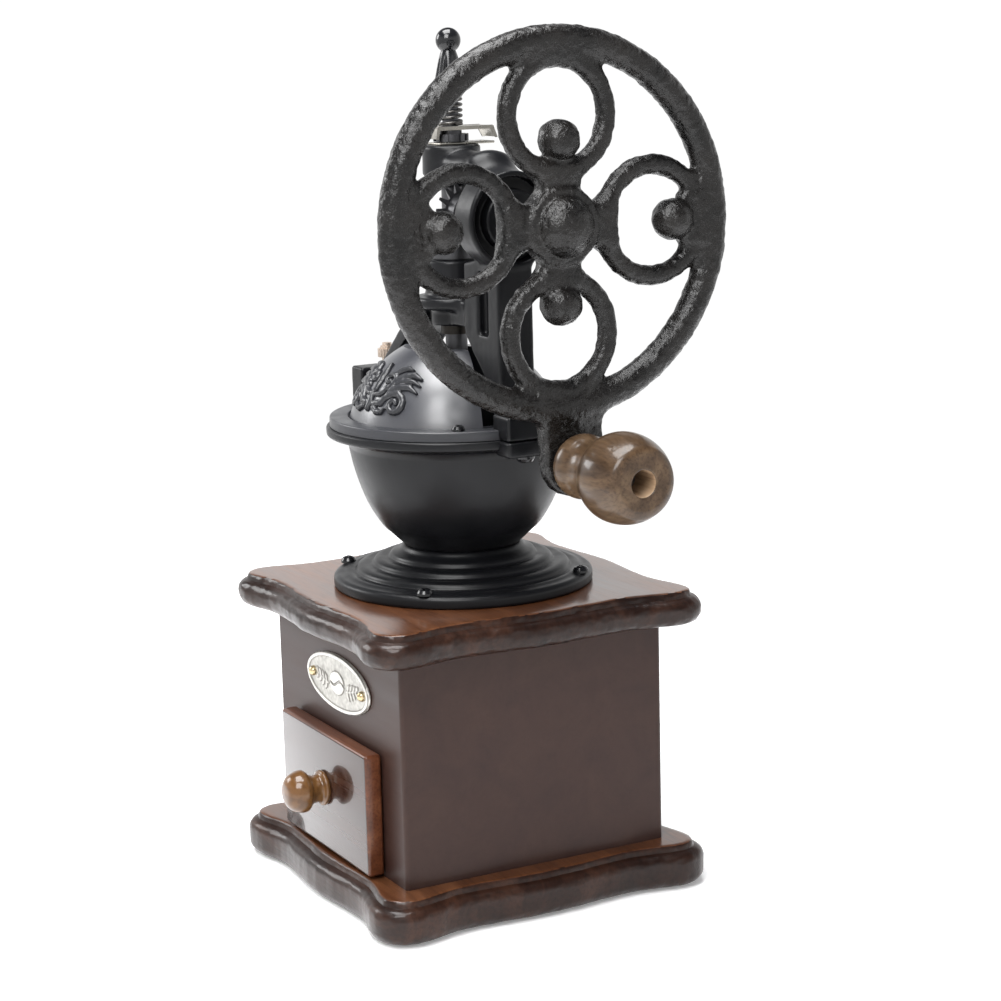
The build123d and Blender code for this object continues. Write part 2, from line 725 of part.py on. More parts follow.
def cross_shape():
    # Hub with a domed nose and four short arms
    half = HUB_HALF
    back = WHEEL_X - 5.0
    front = WHEEL_X + half + 0.8
    centre = front + NOSE_RISE - NOSE_ROUND
    lip = math.sqrt(NOSE_ROUND ** 2 - (front - centre) ** 2)
    profile = Polyline((0, 0, 66), (9, 0, 66), (9, 0, back), (13, 0, back), (13, 0, front), (lip, 0, front))
    a = math.radians(40)
    middle = (NOSE_ROUND * math.sin(a), 0, centre + NOSE_ROUND * math.cos(a))
    tip = (0, 0, front + NOSE_RISE)
    nose = ThreePointArc((lip, 0, front), middle, tip)
    hub = revolve(make_face([profile, nose, Line(tip, (0, 0, 66))]), Axis.Z)
    cross = Pos(0, 0, AXLE_Z) * Rot(0, 90, 0) * hub
    arm = block(WHEEL_X - half, WHEEL_X + half, -8.6, 8.6, -22, 22)
    cross += Pos(0, 0, AXLE_Z) * arm
    return cross + Pos(0, 0, AXLE_Z) * Rot(90, 0, 0) * arm


def wheel_hub():
    hub = cross_shape() - rod_x(SHAFT, 60, 74, 0, AXLE_Z)
    hub -= Pos(69, 0, AXLE_Z) * disc(1.5, 0, 12)
    return on_spokes(hub)


def wheel_bosses():
    # Small balls: two by the hub, above and below, and two by the rim
    balls = []
    for arm, turns in ((28.4, (0,)), (26.4, (180,)), (44.2, (90, 270))):
        ball = Pos(WHEEL_X + 1.5, 0, AXLE_Z + arm) * Sphere(7.5)
        ball -= loop_shape()
        ball -= cross_shape()
        ball = ball.solids().sort_by(SortBy.VOLUME)[-1]
        balls += [on_spokes(about_axle(ball, turn)) for turn in turns]
    return Compound(children=balls)


def wheel_axle():
    return on_wheel(rod_x(SHAFT, 7.0, 74, 0, AXLE_Z))


def set_screws():
    # One in the hub and one in the collar, both bearing on the shaft
    screws = []
    for x, top in ((69, 8.6), (20, 7.0)):
        screw = disc(1.5, SHAFT, top, x, 0) - disc(0.7, top - 1.6, top + 1, x, 0)
        screws.append(on_spokes(Pos(0, 0, AXLE_Z) * screw))
    return Compound(children=screws)


def axle_collar():
    collar = rod_x(7.2, 16.2, 23.6, 0, AXLE_Z) - rod_x(SHAFT, 10, 30, 0, AXLE_Z)
    collar -= Pos(20, 0, AXLE_Z) * disc(1.5, 0, 8)
    return on_spokes(collar)


def handle_pin():
    # Shoulder screw through the lug; the grip turns on its long shoulder
    z = AXLE_Z - PIN_ARM
    pin = rod_x(3.0, WHEEL_X - ARM_HALF, 80, 0, z) + rod_x(3.5, WHEEL_X + ARM_HALF, 108.5, 0, z)
    pin += rod_x(4.0, 108.5, 111.2, 0, z)
    pin -= Pos(111.2, 0, z) * Box(2.4, 6, 1.0)
    return on_wheel(pin)


def wooden_grip():
    outline = [(3.55, 80.6), (9.6, 80.6), (10.9, 82.6), (11.2, 85.4), (10.6, 88.1), (9.6, 89.9)]
    outline += [(9.4, 93.2), (9.9, 96.4), (11.4, 99.3), (13.6, 102.4), (15.1, 106.3), (15.4, 110.2)]
    outline += [(15.0, 114), (14.0, 118), (12.6, 121.1), (11.2, 123), (10.6, 123.5)]
    outline += [(4.4, 123.5), (4.4, 108.2), (3.55, 108.2)]
    return on_wheel(turned_on_x(outline, 0, AXLE_Z - PIN_ARM))


NODES = {
    "base_plate": base_plate,
    "felt_pad": felt_pad,
    "base_screws": base_screws,
    "corner_blocks": corner_blocks,
    "right_board": side_board,
    "left_board": lambda: mirror(side_board(), Plane.YZ),
    "back_board": back_board,
    "front_rail": front_rail,
    "front_stiles": front_stiles,
    "drawer_guides": drawer_guides,
    "top_plate": top_plate,
    "nameplate": nameplate,
    "nameplate_pins": nameplate_pins,
    "stepped_flange": stepped_flange,
    "flange_screws": flange_screws,
    "hopper_bowl": hopper_bowl,
    "outer_burr": outer_burr,
    "lid_ring": lid_ring,
    "lid_screws": lid_screws,
    "tower_column": tower_column,
    "tower_foot": tower_foot,
    "bearing_head": bearing_head,
    "top_arm": top_arm,
    "top_boss": top_boss,
    "step_boss": step_boss,
    "step_bridge": step_bridge,
    "left_leg": left_leg,
    "left_foot": left_foot,
    "foot_screws": foot_screws,
    "thumb_nut": thumb_nut,
    "shaft_bushes": shaft_bushes,
    "click_base": click_base,
    "hopper_hood": hopper_hood,
    "dome_cover": dome_cover,
    "dome_relief": dome_relief,
    "wheel_rim": wheel_rim,
    "wheel_loops": wheel_loops,
    "wheel_hub": wheel_hub,
    "wheel_bosses": wheel_bosses,
    "handle_lug": handle_lug,
    "wheel_axle": wheel_axle,
    "set_screws": set_screws,
    "axle_collar": axle_collar,
    "drive_bevel_gear": drive_bevel_gear,
    "handle_pin": handle_pin,
    "wooden_grip": wooden_grip,
    "spindle_bevel_gear": spindle_bevel_gear,
    "spindle": spindle,
    "inner_burr": inner_burr,
    "burr_nut": burr_nut,
    "finial": finial,
    "adjust_nut": adjust_nut,
    "click_plate": click_plate,
    "spring": spring,
    "drawer_front": drawer_front,
    "drawer_sides": drawer_sides,
    "drawer_back": drawer_back,
    "drawer_bottom": drawer_bottom,
    "drawer_knob": drawer_knob,
    "drawer_knob_screw": drawer_knob_screw,
}

os.makedirs("parts", exist_ok=True)
for name, make in NODES.items():
    export_step(make(), "parts/" + name + ".step")
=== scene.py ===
import json
import math

import bpy
import numpy as np
from mathutils import Matrix, Vector


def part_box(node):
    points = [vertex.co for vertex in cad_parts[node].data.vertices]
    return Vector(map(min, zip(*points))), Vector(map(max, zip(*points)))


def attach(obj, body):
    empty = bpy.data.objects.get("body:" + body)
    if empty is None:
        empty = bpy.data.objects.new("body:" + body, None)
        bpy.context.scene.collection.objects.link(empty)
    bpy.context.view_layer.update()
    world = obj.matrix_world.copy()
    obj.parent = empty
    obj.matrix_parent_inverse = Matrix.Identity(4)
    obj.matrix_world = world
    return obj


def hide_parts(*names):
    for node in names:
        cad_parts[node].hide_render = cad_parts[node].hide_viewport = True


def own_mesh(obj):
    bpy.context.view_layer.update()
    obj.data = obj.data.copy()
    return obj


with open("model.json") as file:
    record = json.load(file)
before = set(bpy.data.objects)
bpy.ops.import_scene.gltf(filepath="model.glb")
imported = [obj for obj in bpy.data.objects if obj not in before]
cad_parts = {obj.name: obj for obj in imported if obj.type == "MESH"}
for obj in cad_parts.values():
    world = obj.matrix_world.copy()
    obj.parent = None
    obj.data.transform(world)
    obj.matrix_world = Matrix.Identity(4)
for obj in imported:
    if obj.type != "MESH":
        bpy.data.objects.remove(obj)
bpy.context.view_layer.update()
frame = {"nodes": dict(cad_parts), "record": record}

MM = 0.001

# ------------------------------------------------------------ places (mm)

SPIN_AXLE_Z = 247.6
WHEEL_X = 76.3
REST_TURN = math.radians(2.5)
SPOKE_LEAN = math.radians(-3.0)
PIN_ARM = 81.0
PIN_BORE = 3.7
GRIP_HOLE = 4.4
DOME_CENTRE_Z = 162.8
FELT_TOP = 0.8
BASE_TOP = 16.3
BOX_TOP = 99.4
DECK = 111.5
PLATE_HALF = 67.5
PLATE_CORNER = 13.0
FINIAL_BALL_Z = 308.8
FINIAL_BALL = 4.5


def corners_mm(node):
    # A node's lowest and highest corner, in millimetres
    low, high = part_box(node)
    return [v / MM for v in low], [v / MM for v in high]


# ------------------------------------------------------------- mesh helpers

def mesh_object(name, points, faces, smooth_angle=35.0):
    # Points are in millimetres
    mesh = bpy.data.meshes.new(name)
    mesh.from_pydata([(x * MM, y * MM, z * MM) for x, y, z in points], [], faces)
    mesh.validate()
    mesh.update()
    mesh.shade_smooth()
    mesh.set_sharp_from_angle(angle=math.radians(smooth_angle))
    obj = bpy.data.objects.new(name, mesh)
    bpy.context.collection.objects.link(obj)
    return obj


def applied(obj):
    # Replaces the mesh by what its modifiers make of it
    graph = bpy.context.evaluated_depsgraph_get()
    made = bpy.data.meshes.new_from_object(obj.evaluated_get(graph))
    obj.modifiers.clear()
    obj.data = made
    return obj


def place(obj, body, slot, material, *nodes):
    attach(obj, body)
    if nodes:
        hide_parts(*nodes)
    if material:
        obj.data.materials.clear()
        obj.data.materials.append(material)
    return obj


def paint_faces(obj, second):
    # Faces for which second(centres in mm, normals) holds take material 1
    count = len(obj.data.polygons)
    centre = np.zeros(count * 3)
    normal = np.zeros(count * 3)
    obj.data.polygons.foreach_get("center", centre)
    obj.data.polygons.foreach_get("normal", normal)
    picked = second(centre.reshape(-1, 3) / MM, normal.reshape(-1, 3))
    obj.data.polygons.foreach_set("material_index", picked.astype(np.int32))


def rounded(points, radius, steps=5):
    # Replaces each inner corner of an open outline by a short arc
    out = [points[0]]
    for before, at, after in zip(points, points[1:], points[2:]):
        a = Vector(before) - Vector(at)
        b = Vector(after) - Vector(at)
        reach = min(radius, a.length * 0.48, b.length * 0.48)
        start = Vector(at) + a.normalized() * reach
        end = Vector(at) + b.normalized() * reach
        for i in range(steps + 1):
            t = i / steps
            curve = start * (1 - t) ** 2 + Vector(at) * 2 * t * (1 - t) + end * t ** 2
            out.append(tuple(curve))
    out.append(points[-1])
    return out


def lathe(name, outline, segments=128, closed=False, place_at=None, smooth_angle=35.0):
    # Turns (radius, height) pairs about Z, then moves the result if asked. An outline
    # that goes up on its outer side faces outwards.
    points = []
    faces = []
    count = len(outline)
    for i in range(segments):
        a = 2 * math.pi * i / segments
        for r, z in outline:
            points.append((r * math.cos(a), r * math.sin(a), z))
    spans = count if closed else count - 1
    for i in range(segments):
        j = (i + 1) % segments
        for k in range(spans):
            n = (k + 1) % count
            faces.append((i * count + k, j * count + k, j * count + n, i * count + n))
    if place_at is not None:
        points = [tuple(place_at @ Vector(p)) for p in points]
    obj = mesh_object(name, points, faces, smooth_angle)
    weld(obj)
    return obj


def weld(obj, distance=0.00001):
    mod = obj.modifiers.new("weld", "WELD")
    mod.merge_threshold = distance
    return applied(obj)


def on_wheel(obj):
    turn = Matrix.Translation((0, 0, SPIN_AXLE_Z * MM)) @ Matrix.Rotation(REST_TURN, 4, "X")
    obj.data.transform(turn @ Matrix.Translation((0, 0, -SPIN_AXLE_Z * MM)))
    return obj


def beveled_box(name, low, high, width=0.6, segments=3):
    x0, y0, z0 = low
    x1, y1, z1 = high
    points = [(x, y, z) for x in (x0, x1) for y in (y0, y1) for z in (z0, z1)]
    faces = [(0, 1, 3, 2), (4, 6, 7, 5), (0, 4, 5, 1), (2, 3, 7, 6), (0, 2, 6, 4), (1, 5, 7, 3)]
    obj = mesh_object(name, points, faces)
    mod = obj.modifiers.new("bevel", "BEVEL")
    mod.width = width * MM
    mod.segments = segments
    mod.harden_normals = False
    applied(obj)
    obj.data.shade_smooth()
    obj.data.set_sharp_from_angle(angle=math.radians(50))
    return obj


def joined(name, objects):
    # Several objects' meshes in one new object
    points = []
    faces = []
    for obj in objects:
        base = len(points)
        points += [tuple(v.co / MM) for v in obj.data.vertices]
        faces += [tuple(base + i for i in p.vertices) for p in obj.data.polygons]
        bpy.data.objects.remove(obj)
    return mesh_object(name, points, faces)


# ------------------------------------------------------------ solid shapes
# Each function gives the signed distance, in mm, of the points x, y, z

def tube_ring(x, y, z, mean, tube):
    return np.hypot(np.hypot(y, z) - mean, x) - tube


def ball(x, y, z, centre, radius):
    return np.sqrt((x - centre[0]) ** 2 + (y - centre[1]) ** 2 + (z - centre[2]) ** 2) - radius


def soft_box(x, y, z, low, high, edge):
    sides = []
    for value, a, b in zip((x, y, z), low, high):
        sides.append(np.abs(value - (a + b) / 2) - (b - a) / 2 + edge)
    outside = np.sqrt(sum(np.maximum(s, 0) ** 2 for s in sides))
    return outside + np.minimum(np.maximum(np.maximum(sides[0], sides[1]), sides[2]), 0) - edge


def crossing(side, end, edge):
    # Where two distances are both negative, with a rounded corner between them
    outside = np.hypot(np.maximum(side, 0), np.maximum(end, 0))
    return outside + np.minimum(np.maximum(side, end), 0) - edge


def soft_drum(along, across, start, stop, radius, edge):
    # A cylinder with rounded rims; across is the distance from its axis
    side = across - radius + edge
    end = np.abs(along - (start + stop) / 2) - (stop - start) / 2 + edge
    return crossing(side, end, edge)


def rod(x, y, z, start, stop, radius):
    a = np.array(start, float)
    d = np.array(stop, float) - a
    t = ((x - a[0]) * d[0] + (y - a[1]) * d[1] + (z - a[2]) * d[2]) / (d @ d)
    t = np.clip(t, 0, 1)
    away = (x - a[0] - t * d[0]) ** 2 + (y - a[1] - t * d[1]) ** 2 + (z - a[2] - t * d[2]) ** 2
    return np.sqrt(away) - radius


def outline_distance(u, v, outline):
    # Signed distance from a closed outline in a plane
    nearest = np.full(u.shape, 1e9)
    inside = np.zeros(u.shape, bool)
    for (x0, y0), (x1, y1) in zip(outline, outline[1:] + outline[:1]):
        dx, dy = x1 - x0, y1 - y0
        t = np.clip(((u - x0) * dx + (v - y0) * dy) / (dx * dx + dy * dy), 0, 1)
        nearest = np.minimum(nearest, np.hypot(u - x0 - t * dx, v - y0 - t * dy))
        crosses = (y0 > v) != (y1 > v)
        if dy:
            inside ^= crosses & (u < x0 + (v - y0) * dx / dy)
    return np.where(inside, -nearest, nearest)


def slab(x, y, z, outline, y0, y1, edge):
    # An outline in the XZ plane given thickness along Y, with rounded edges
    side = outline_distance(x, z, outline) + edge
    end = np.abs(y - (y0 + y1) / 2) - (y1 - y0) / 2 + edge
    return crossing(side, end, edge)


def melt(first, second, width):
    # Union with a fillet about as wide as width
    h = np.clip(0.5 + 0.5 * (second - first) / width, 0, 1)
    return second * (1 - h) + first * h - width * h * (1 - h)


def carve(first, second, width):
    return -melt(-first, second, width)


def lumps(x, y, z, size, seed):
    # Smooth random lumps between -1 and 1, about size mm apart
    side = 64
    table = np.random.default_rng(seed).uniform(-1, 1, (side, side, side))
    whole = []
    part = []
    turned = (0.8 * x + 0.6 * y, 0.64 * y - 0.48 * x + 0.6 * z, 0.36 * x - 0.48 * y + 0.8 * z)
    for value in turned:
        scaled = value / size + 1000.0
        base = np.floor(scaled)
        t = scaled - base
        whole.append(base.astype(int))
        part.append(t * t * (3 - 2 * t))
    total = 0
    for corner in range(8):
        bits = ((corner >> 2) & 1, (corner >> 1) & 1, corner & 1)
        weight = 1
        index = []
        for bit, base, t in zip(bits, whole, part):
            weight = weight * (t if bit else 1 - t)
            index.append((base + bit) % side)
        total = total + weight * table[tuple(index)]
    return total


def grid(low, high, step):
    axes = [np.arange(a, b + step, step) for a, b in zip(low, high)]
    return np.meshgrid(*axes, indexing="ij")


def skin(name, field, low, step, warp=None):
    # The surface where field is zero, as a smooth mesh
    inside = field < 0
    cells = tuple(n - 1 for n in field.shape)
    total = np.zeros(cells + (3,))
    count = np.zeros(cells)
    for axis in range(3):
        others = [a for a in range(3) if a != axis]
        for shift in range(4):
            start = [0, 0, 0]
            start[others[0]] = shift & 1
            start[others[1]] = shift >> 1
            first = tuple(slice(s, s + n) for s, n in zip(start, cells))
            start[axis] = 1
            second = tuple(slice(s, s + n) for s, n in zip(start, cells))
            start[axis] = 0
            changes = inside[first] != inside[second]
            a = field[first]
            b = field[second]
            share = np.where(changes, a / np.where(changes, a - b, 1), 0)
            spot = np.zeros(cells + (3,))
            for k in range(3):
                spot[..., k] = start[k]
            spot[..., axis] = share
            total += np.where(changes[..., None], spot, 0)
            count += changes
    used = count > 0
    number = np.full(cells, -1)
    number[used] = np.arange(used.sum())
    places = np.argwhere(used) + total[used] / count[used][:, None]
    places = places * step + np.array(low)
    quads = []
    for axis in range(3):
        u, v = [a for a in range(3) if a != axis]
        first = [slice(1, n) for n in cells]
        first[axis] = slice(0, cells[axis])
        second = list(first)
        second[axis] = slice(1, cells[axis] + 1)
        a = inside[tuple(first)]
        b = inside[tuple(second)]
        where = np.argwhere(a != b)
        starts_inside = a[a != b]
        where[:, u] += 1
        where[:, v] += 1
        around = []
        for du, dv in ((-1, -1), (0, -1), (0, 0), (-1, 0)):
            at = where.copy()
            at[:, u] += du
            at[:, v] += dv
            around.append(number[at[:, 0], at[:, 1], at[:, 2]])
        ring = np.stack(around, 1)
        flip = starts_inside if axis == 1 else ~starts_inside
        ring[flip] = ring[flip][:, ::-1]
        quads.append(ring)
    quads = np.concatenate(quads)
    if warp is not None:
        places = warp(places)
    return quick_mesh(name, places, quads)


def quick_mesh(name, places, quads):
    # Places are in millimetres
    mesh = bpy.data.meshes.new(name)
    mesh.vertices.add(len(places))
    mesh.vertices.foreach_set("co", (np.asarray(places) * MM).ravel())
    mesh.loops.add(len(quads) * 4)
    mesh.loops.foreach_set("vertex_index", np.asarray(quads).ravel())
    mesh.polygons.add(len(quads))
    mesh.polygons.foreach_set("loop_start", np.arange(0, len(quads) * 4, 4))
    mesh.update(calc_edges=True)
    mesh.validate()
    mesh.shade_smooth()
    obj = bpy.data.objects.new(name, mesh)
    bpy.context.collection.objects.link(obj)
    return obj


# ---------------------------------------------------------------- materials

class Shader:
    # A small builder for node materials around one Principled shader
    def __init__(self, name, colour, roughness=0.5, metallic=0.0):
        self.material = bpy.data.materials.new(name)
        self.material.use_nodes = True
        self.tree = self.material.node_tree
        self.main = self.tree.nodes["Principled BSDF"]
        self.main.inputs["Base Color"].default_value = (*colour, 1.0)
        self.main.inputs["Roughness"].default_value = roughness
        self.main.inputs["Metallic"].default_value = metallic
        self.coords = self.tree.nodes.new("ShaderNodeTexCoord").outputs["Object"]
        self.last_bump = None

    def node(self, kind, **values):
        made = self.tree.nodes.new(kind)
        for key, value in values.items():
            if key in made.inputs:
                made.inputs[key].default_value = value
            else:
                setattr(made, key, value)
        return made

    def link(self, start, end):
        self.tree.links.new(start, end)

    def mapped(self, scale, turn=(0, 0, 0)):
        mapping = self.node("ShaderNodeMapping")
        mapping.inputs["Scale"].default_value = scale
        mapping.inputs["Rotation"].default_value = turn
        self.link(self.coords, mapping.inputs["Vector"])
        return mapping.outputs["Vector"]

    def noise(self, scale, detail=4.0, rough=0.55, vector=None, distortion=0.0):
        made = self.node("ShaderNodeTexNoise")
        made.inputs["Scale"].default_value = scale
        made.inputs["Detail"].default_value = detail
        made.inputs["Roughness"].default_value = rough
        made.inputs["Distortion"].default_value = distortion
        self.link(vector or self.coords, made.inputs["Vector"])
        return made.outputs["Fac"]

    def ramp(self, value, stops):
        made = self.node("ShaderNodeValToRGB")
        elements = made.color_ramp.elements
        while len(elements) < len(stops):
            elements.new(0.5)
        for element, (at, colour) in zip(elements, stops):
            element.position = at
            element.color = (*colour, 1.0) if len(colour) == 3 else colour
        self.link(value, made.inputs["Fac"])
        return made.outputs["Color"]

    def blend(self, kind, factor, first, second):
        made = self.node("ShaderNodeMix", data_type="RGBA", blend_type=kind)
        if isinstance(factor, float):
            made.inputs[0].default_value = factor
        else:
            self.link(factor, made.inputs[0])
        self.link(first, made.inputs[6])
        self.link(second, made.inputs[7])
        return made.outputs[2]

    def spread(self, value, low, high, start=0.0, stop=1.0):
        made = self.node("ShaderNodeMapRange")
        made.inputs["From Min"].default_value = start
        made.inputs["From Max"].default_value = stop
        made.inputs["To Min"].default_value = low
        made.inputs["To Max"].default_value = high
        self.link(value, made.inputs["Value"])
        return made.outputs["Result"]

    def colour(self, output):
        self.link(output, self.main.inputs["Base Color"])

    def roughness(self, output):
        self.link(output, self.main.inputs["Roughness"])

    def bump(self, height, strength, distance_mm):
        made = self.node("ShaderNodeBump")
        made.inputs["Strength"].default_value = strength
        made.inputs["Distance"].default_value = distance_mm * MM
        self.link(height, made.inputs["Height"])
        if self.last_bump:
            self.link(self.last_bump, made.inputs["Normal"])
        self.last_bump = made.outputs["Normal"]
        self.link(self.last_bump, self.main.inputs["Normal"])

    def coat(self, weight, roughness):
        self.main.inputs["Coat Weight"].default_value = weight
        self.main.inputs["Coat Roughness"].default_value = roughness


def black_paint(name, tone, rough, level=0.5, coat=0.0, coat_rough=0.0):
    # Satin black enamel; tone lightens it and level sets how much it mirrors. A high tone gives a lighter
    # copy of the same paint, which is painted light
    s = Shader(name, (0.01, 0.01, 0.012), rough)
    cloud = s.noise(38.0, 3.0)
    s.colour(s.ramp(cloud, [
        (0.3, (0.0075 * tone, 0.0078 * tone, 0.0095 * tone)),
        (0.7, (0.0125 * tone, 0.013 * tone, 0.0155 * tone)),
    ]))
    s.roughness(s.spread(s.noise(120.0, 4.0), rough - 0.05, rough + 0.07, 0.3, 0.7))
    s.bump(s.noise(1500.0, 2.0), 0.14, 0.05)
    s.bump(s.noise(300.0, 3.0), 0.10, 0.12)
    s.main.inputs["Specular IOR Level"].default_value = level
    if coat:
        s.coat(coat, coat_rough)
    return s.material


def hammered_iron():
    # Rough black enamel on cast iron, with fine glints
    s = Shader("hammered_iron", (0.01, 0.009, 0.009), 0.3)
    s.colour(s.ramp(s.noise(70.0, 4.0), [(0.35, (0.0025, 0.0023, 0.0022)), (0.68, (0.0105, 0.0092, 0.0085))]))
    grit = s.noise(1100.0, 2.0, 0.6)
    s.roughness(s.spread(grit, 0.17, 0.38, 0.35, 0.65))
    s.bump(s.noise(640.0, 3.0, 0.65), 0.9, 0.36)
    s.bump(grit, 0.9, 0.20)
    s.main.inputs["Specular IOR Level"].default_value = 0.36
    return s.material


def wood(name, dark, mid, light, grain_turn, rough=0.35, coat=0.5, coat_rough=0.16,
         bump=0.15, fine=1.0, pitted=0.55, gnarl=0.0):
    # Grain runs along local X before grain_turn is applied
    s = Shader(name, mid, rough)
    long = s.mapped((9.0 * fine, 95.0 * fine, 95.0 * fine), grain_turn)
    bands = s.noise(1.0, 6.0, 0.6, long, 0.6)
    pores = s.noise(6.0, 3.0, 0.5, s.mapped((14.0 * fine, 160.0 * fine, 160.0 * fine), grain_turn))
    base = s.ramp(bands, [(0.28, dark), (0.52, mid), (0.78, light)])
    marks = s.ramp(pores, [(0.36, (0.45, 0.42, 0.4)), (0.52, (1, 1, 1))])
    s.colour(s.blend("MULTIPLY", pitted, base, marks))
    s.roughness(s.spread(bands, rough - 0.06, rough + 0.08, 0.3, 0.7))
    s.bump(pores, bump, 0.12)
    if gnarl:
        s.bump(s.noise(260.0, 4.0, 0.65, s.mapped((0.35, 1.0, 1.0), grain_turn)), 0.8, gnarl)
    s.coat(coat, coat_rough)
    s.main.inputs["Specular IOR Level"].default_value = 0.18
    return s.material


def plated(name, colour, rough, streaks=500.0):
    # Bare or plated metal with faint streaks
    s = Shader(name, colour, rough, 1.0)
    s.colour(s.ramp(s.noise(60.0, 4.0), [
        (0.3, tuple(c * 0.82 for c in colour)), (0.7, colour)]))
    s.roughness(s.spread(s.noise(streaks, 3.0), rough - 0.06, rough + 0.08, 0.3, 0.7))
    s.bump(s.noise(streaks * 2, 2.0), 0.08, 0.04)
    return s.material


ALONG_X = (0.0, 0.0, 0.0)
ALONG_Y = (0.0, 0.0, math.radians(90))
ALONG_Z = (0.0, math.radians(90), 0.0)

PAINT = black_paint("black_paint", 0.45, 0.34, 0.23)
# The dome, relief and lid take lighter copies of the bowl's black paint: painted light for the sheen they
# catch from the lamps
LIT_DOME_PAINT = black_paint("dome_paint_painted_light", 3.0, 0.34, 0.8, coat=0.45, coat_rough=0.24)
LIT_RELIEF_PAINT = black_paint("relief_paint_painted_light", 1.4, 0.32, 0.6)
LIT_LID_PAINT = black_paint("lid_paint_painted_light", 1.8, 0.34, 0.6)
IRON = hammered_iron()
TOP_WOOD = wood(
    "top_wood", (0.050, 0.017, 0.007), (0.092, 0.034, 0.014), (0.140, 0.056, 0.024), ALONG_Y,
    rough=0.34, coat=0.85, coat_rough=0.16)
EDGE_WOOD = wood(
    "edge_wood", (0.008, 0.003, 0.002), (0.019, 0.0075, 0.0045), (0.050, 0.020, 0.011), ALONG_X,
    rough=0.36, coat=0.24, coat_rough=0.10, bump=0.8, fine=0.7, pitted=0.55, gnarl=0.30)
BODY_WOOD = wood(
    "body_wood", (0.0235, 0.010, 0.0078), (0.0305, 0.014, 0.0105), (0.038, 0.019, 0.014), ALONG_Z,
    rough=0.46, coat=0.16, coat_rough=0.24, bump=0.03, fine=0.6, pitted=0.12)
FACE_WOOD = wood(
    "drawer_face_wood", (0.016, 0.006, 0.004), (0.026, 0.010, 0.007), (0.040, 0.017, 0.011), ALONG_X,
    rough=0.25, coat=0.82, coat_rough=0.03, bump=0.0, fine=1.0, pitted=0.1)
RED_WOOD = wood(
    "drawer_edge_wood", (0.050, 0.014, 0.005), (0.092, 0.028, 0.011), (0.140, 0.050, 0.020), ALONG_X,
    rough=0.36, coat=0.35, coat_rough=0.15)
PLAIN_WOOD = wood(
    "plain_wood", (0.30, 0.17, 0.08), (0.42, 0.26, 0.13), (0.52, 0.34, 0.19), ALONG_Y,
    rough=0.6, coat=0.0, coat_rough=0.3)
KNOB_WOOD = wood(
    "knob_wood", (0.075, 0.030, 0.009), (0.130, 0.060, 0.018), (0.215, 0.112, 0.040), ALONG_Y,
    rough=0.30, coat=0.6, coat_rough=0.05, bump=0.05, fine=0.3)
GRIP_WOOD = wood(
    "grip_wood", (0.026, 0.014, 0.007), (0.068, 0.040, 0.021), (0.135, 0.087, 0.049), ALONG_X,
    rough=0.34, coat=0.36, coat_rough=0.12, bump=0.12, fine=1.2)
BARE_WOOD = wood(
    "bare_wood", (0.26, 0.17, 0.10), (0.36, 0.25, 0.16), (0.46, 0.34, 0.23), ALONG_X,
    rough=0.6, coat=0.0, coat_rough=0.3)
BLACK_SCREW = black_paint("black_screw", 0.5, 0.2)
BLACK_GLOSS = black_paint("black_gloss", 0.6, 0.16)
STEEL = plated("steel", (0.22, 0.22, 0.225), 0.34)
GEAR_IRON = plated("gear_iron", (0.10, 0.10, 0.105), 0.42)
NICKEL = plated("nickel", (0.40, 0.38, 0.34), 0.30)
BRASS = plated("brass", (0.62, 0.50, 0.30), 0.28)
SPRING = plated("spring_steel", (0.12, 0.115, 0.11), 0.35)
NUT_BRASS = plated("dull_brass", (0.60, 0.50, 0.42), 0.45)
BUSH = plated("bush_bronze", (0.032, 0.029, 0.026), 0.4)


def felt():
    s = Shader("felt", (0.02, 0.02, 0.02), 0.95)
    s.colour(s.ramp(s.noise(900.0, 3.0), [(0.3, (0.012, 0.012, 0.012)), (0.7, (0.035, 0.034, 0.033))]))
    s.bump(s.noise(1400.0, 3.0), 0.6, 0.2)
    return s.material


FELT = felt()

SLOT_LOOKS = {
    "moulded_wood": TOP_WOOD,
    "body_wood": BODY_WOOD,
    "plain_wood": PLAIN_WOOD,
    "drawer_wood": FACE_WOOD,
    "knob_wood": KNOB_WOOD,
    "grip_wood": GRIP_WOOD,
    "felt": FELT,
    "black_paint": PAINT,
    "hammered_iron": IRON,
    "black_screw": BLACK_SCREW,
    "steel": STEEL,
    "gear_iron": GEAR_IRON,
    "nickel": NICKEL,
    "brass": BRASS,
    "bush_brass": BUSH,
    "spring_steel": SPRING,
    "black_gloss": BLACK_GLOSS,
}


def dress_cad_nodes():
    # Every node that stays shown takes its slot's material
    slots = {part["node"]: part["material_slot"] for part in frame["record"]["subparts"]}
    for name, obj in frame["nodes"].items():
        obj.data.materials.clear()
        obj.data.materials.append(SLOT_LOOKS[slots[name]])
    # The dome cover and hood take the lighter copy of the black paint, which is painted light
    for name, look in (("adjust_nut", GEAR_IRON), ("spindle", GEAR_IRON), ("dome_cover", LIT_DOME_PAINT),
                       ("hopper_hood", LIT_DOME_PAINT), ("thumb_nut", NUT_BRASS)):
        frame["nodes"][name].data.materials[0] = look


# ------------------------------------------------------------- crank wheel

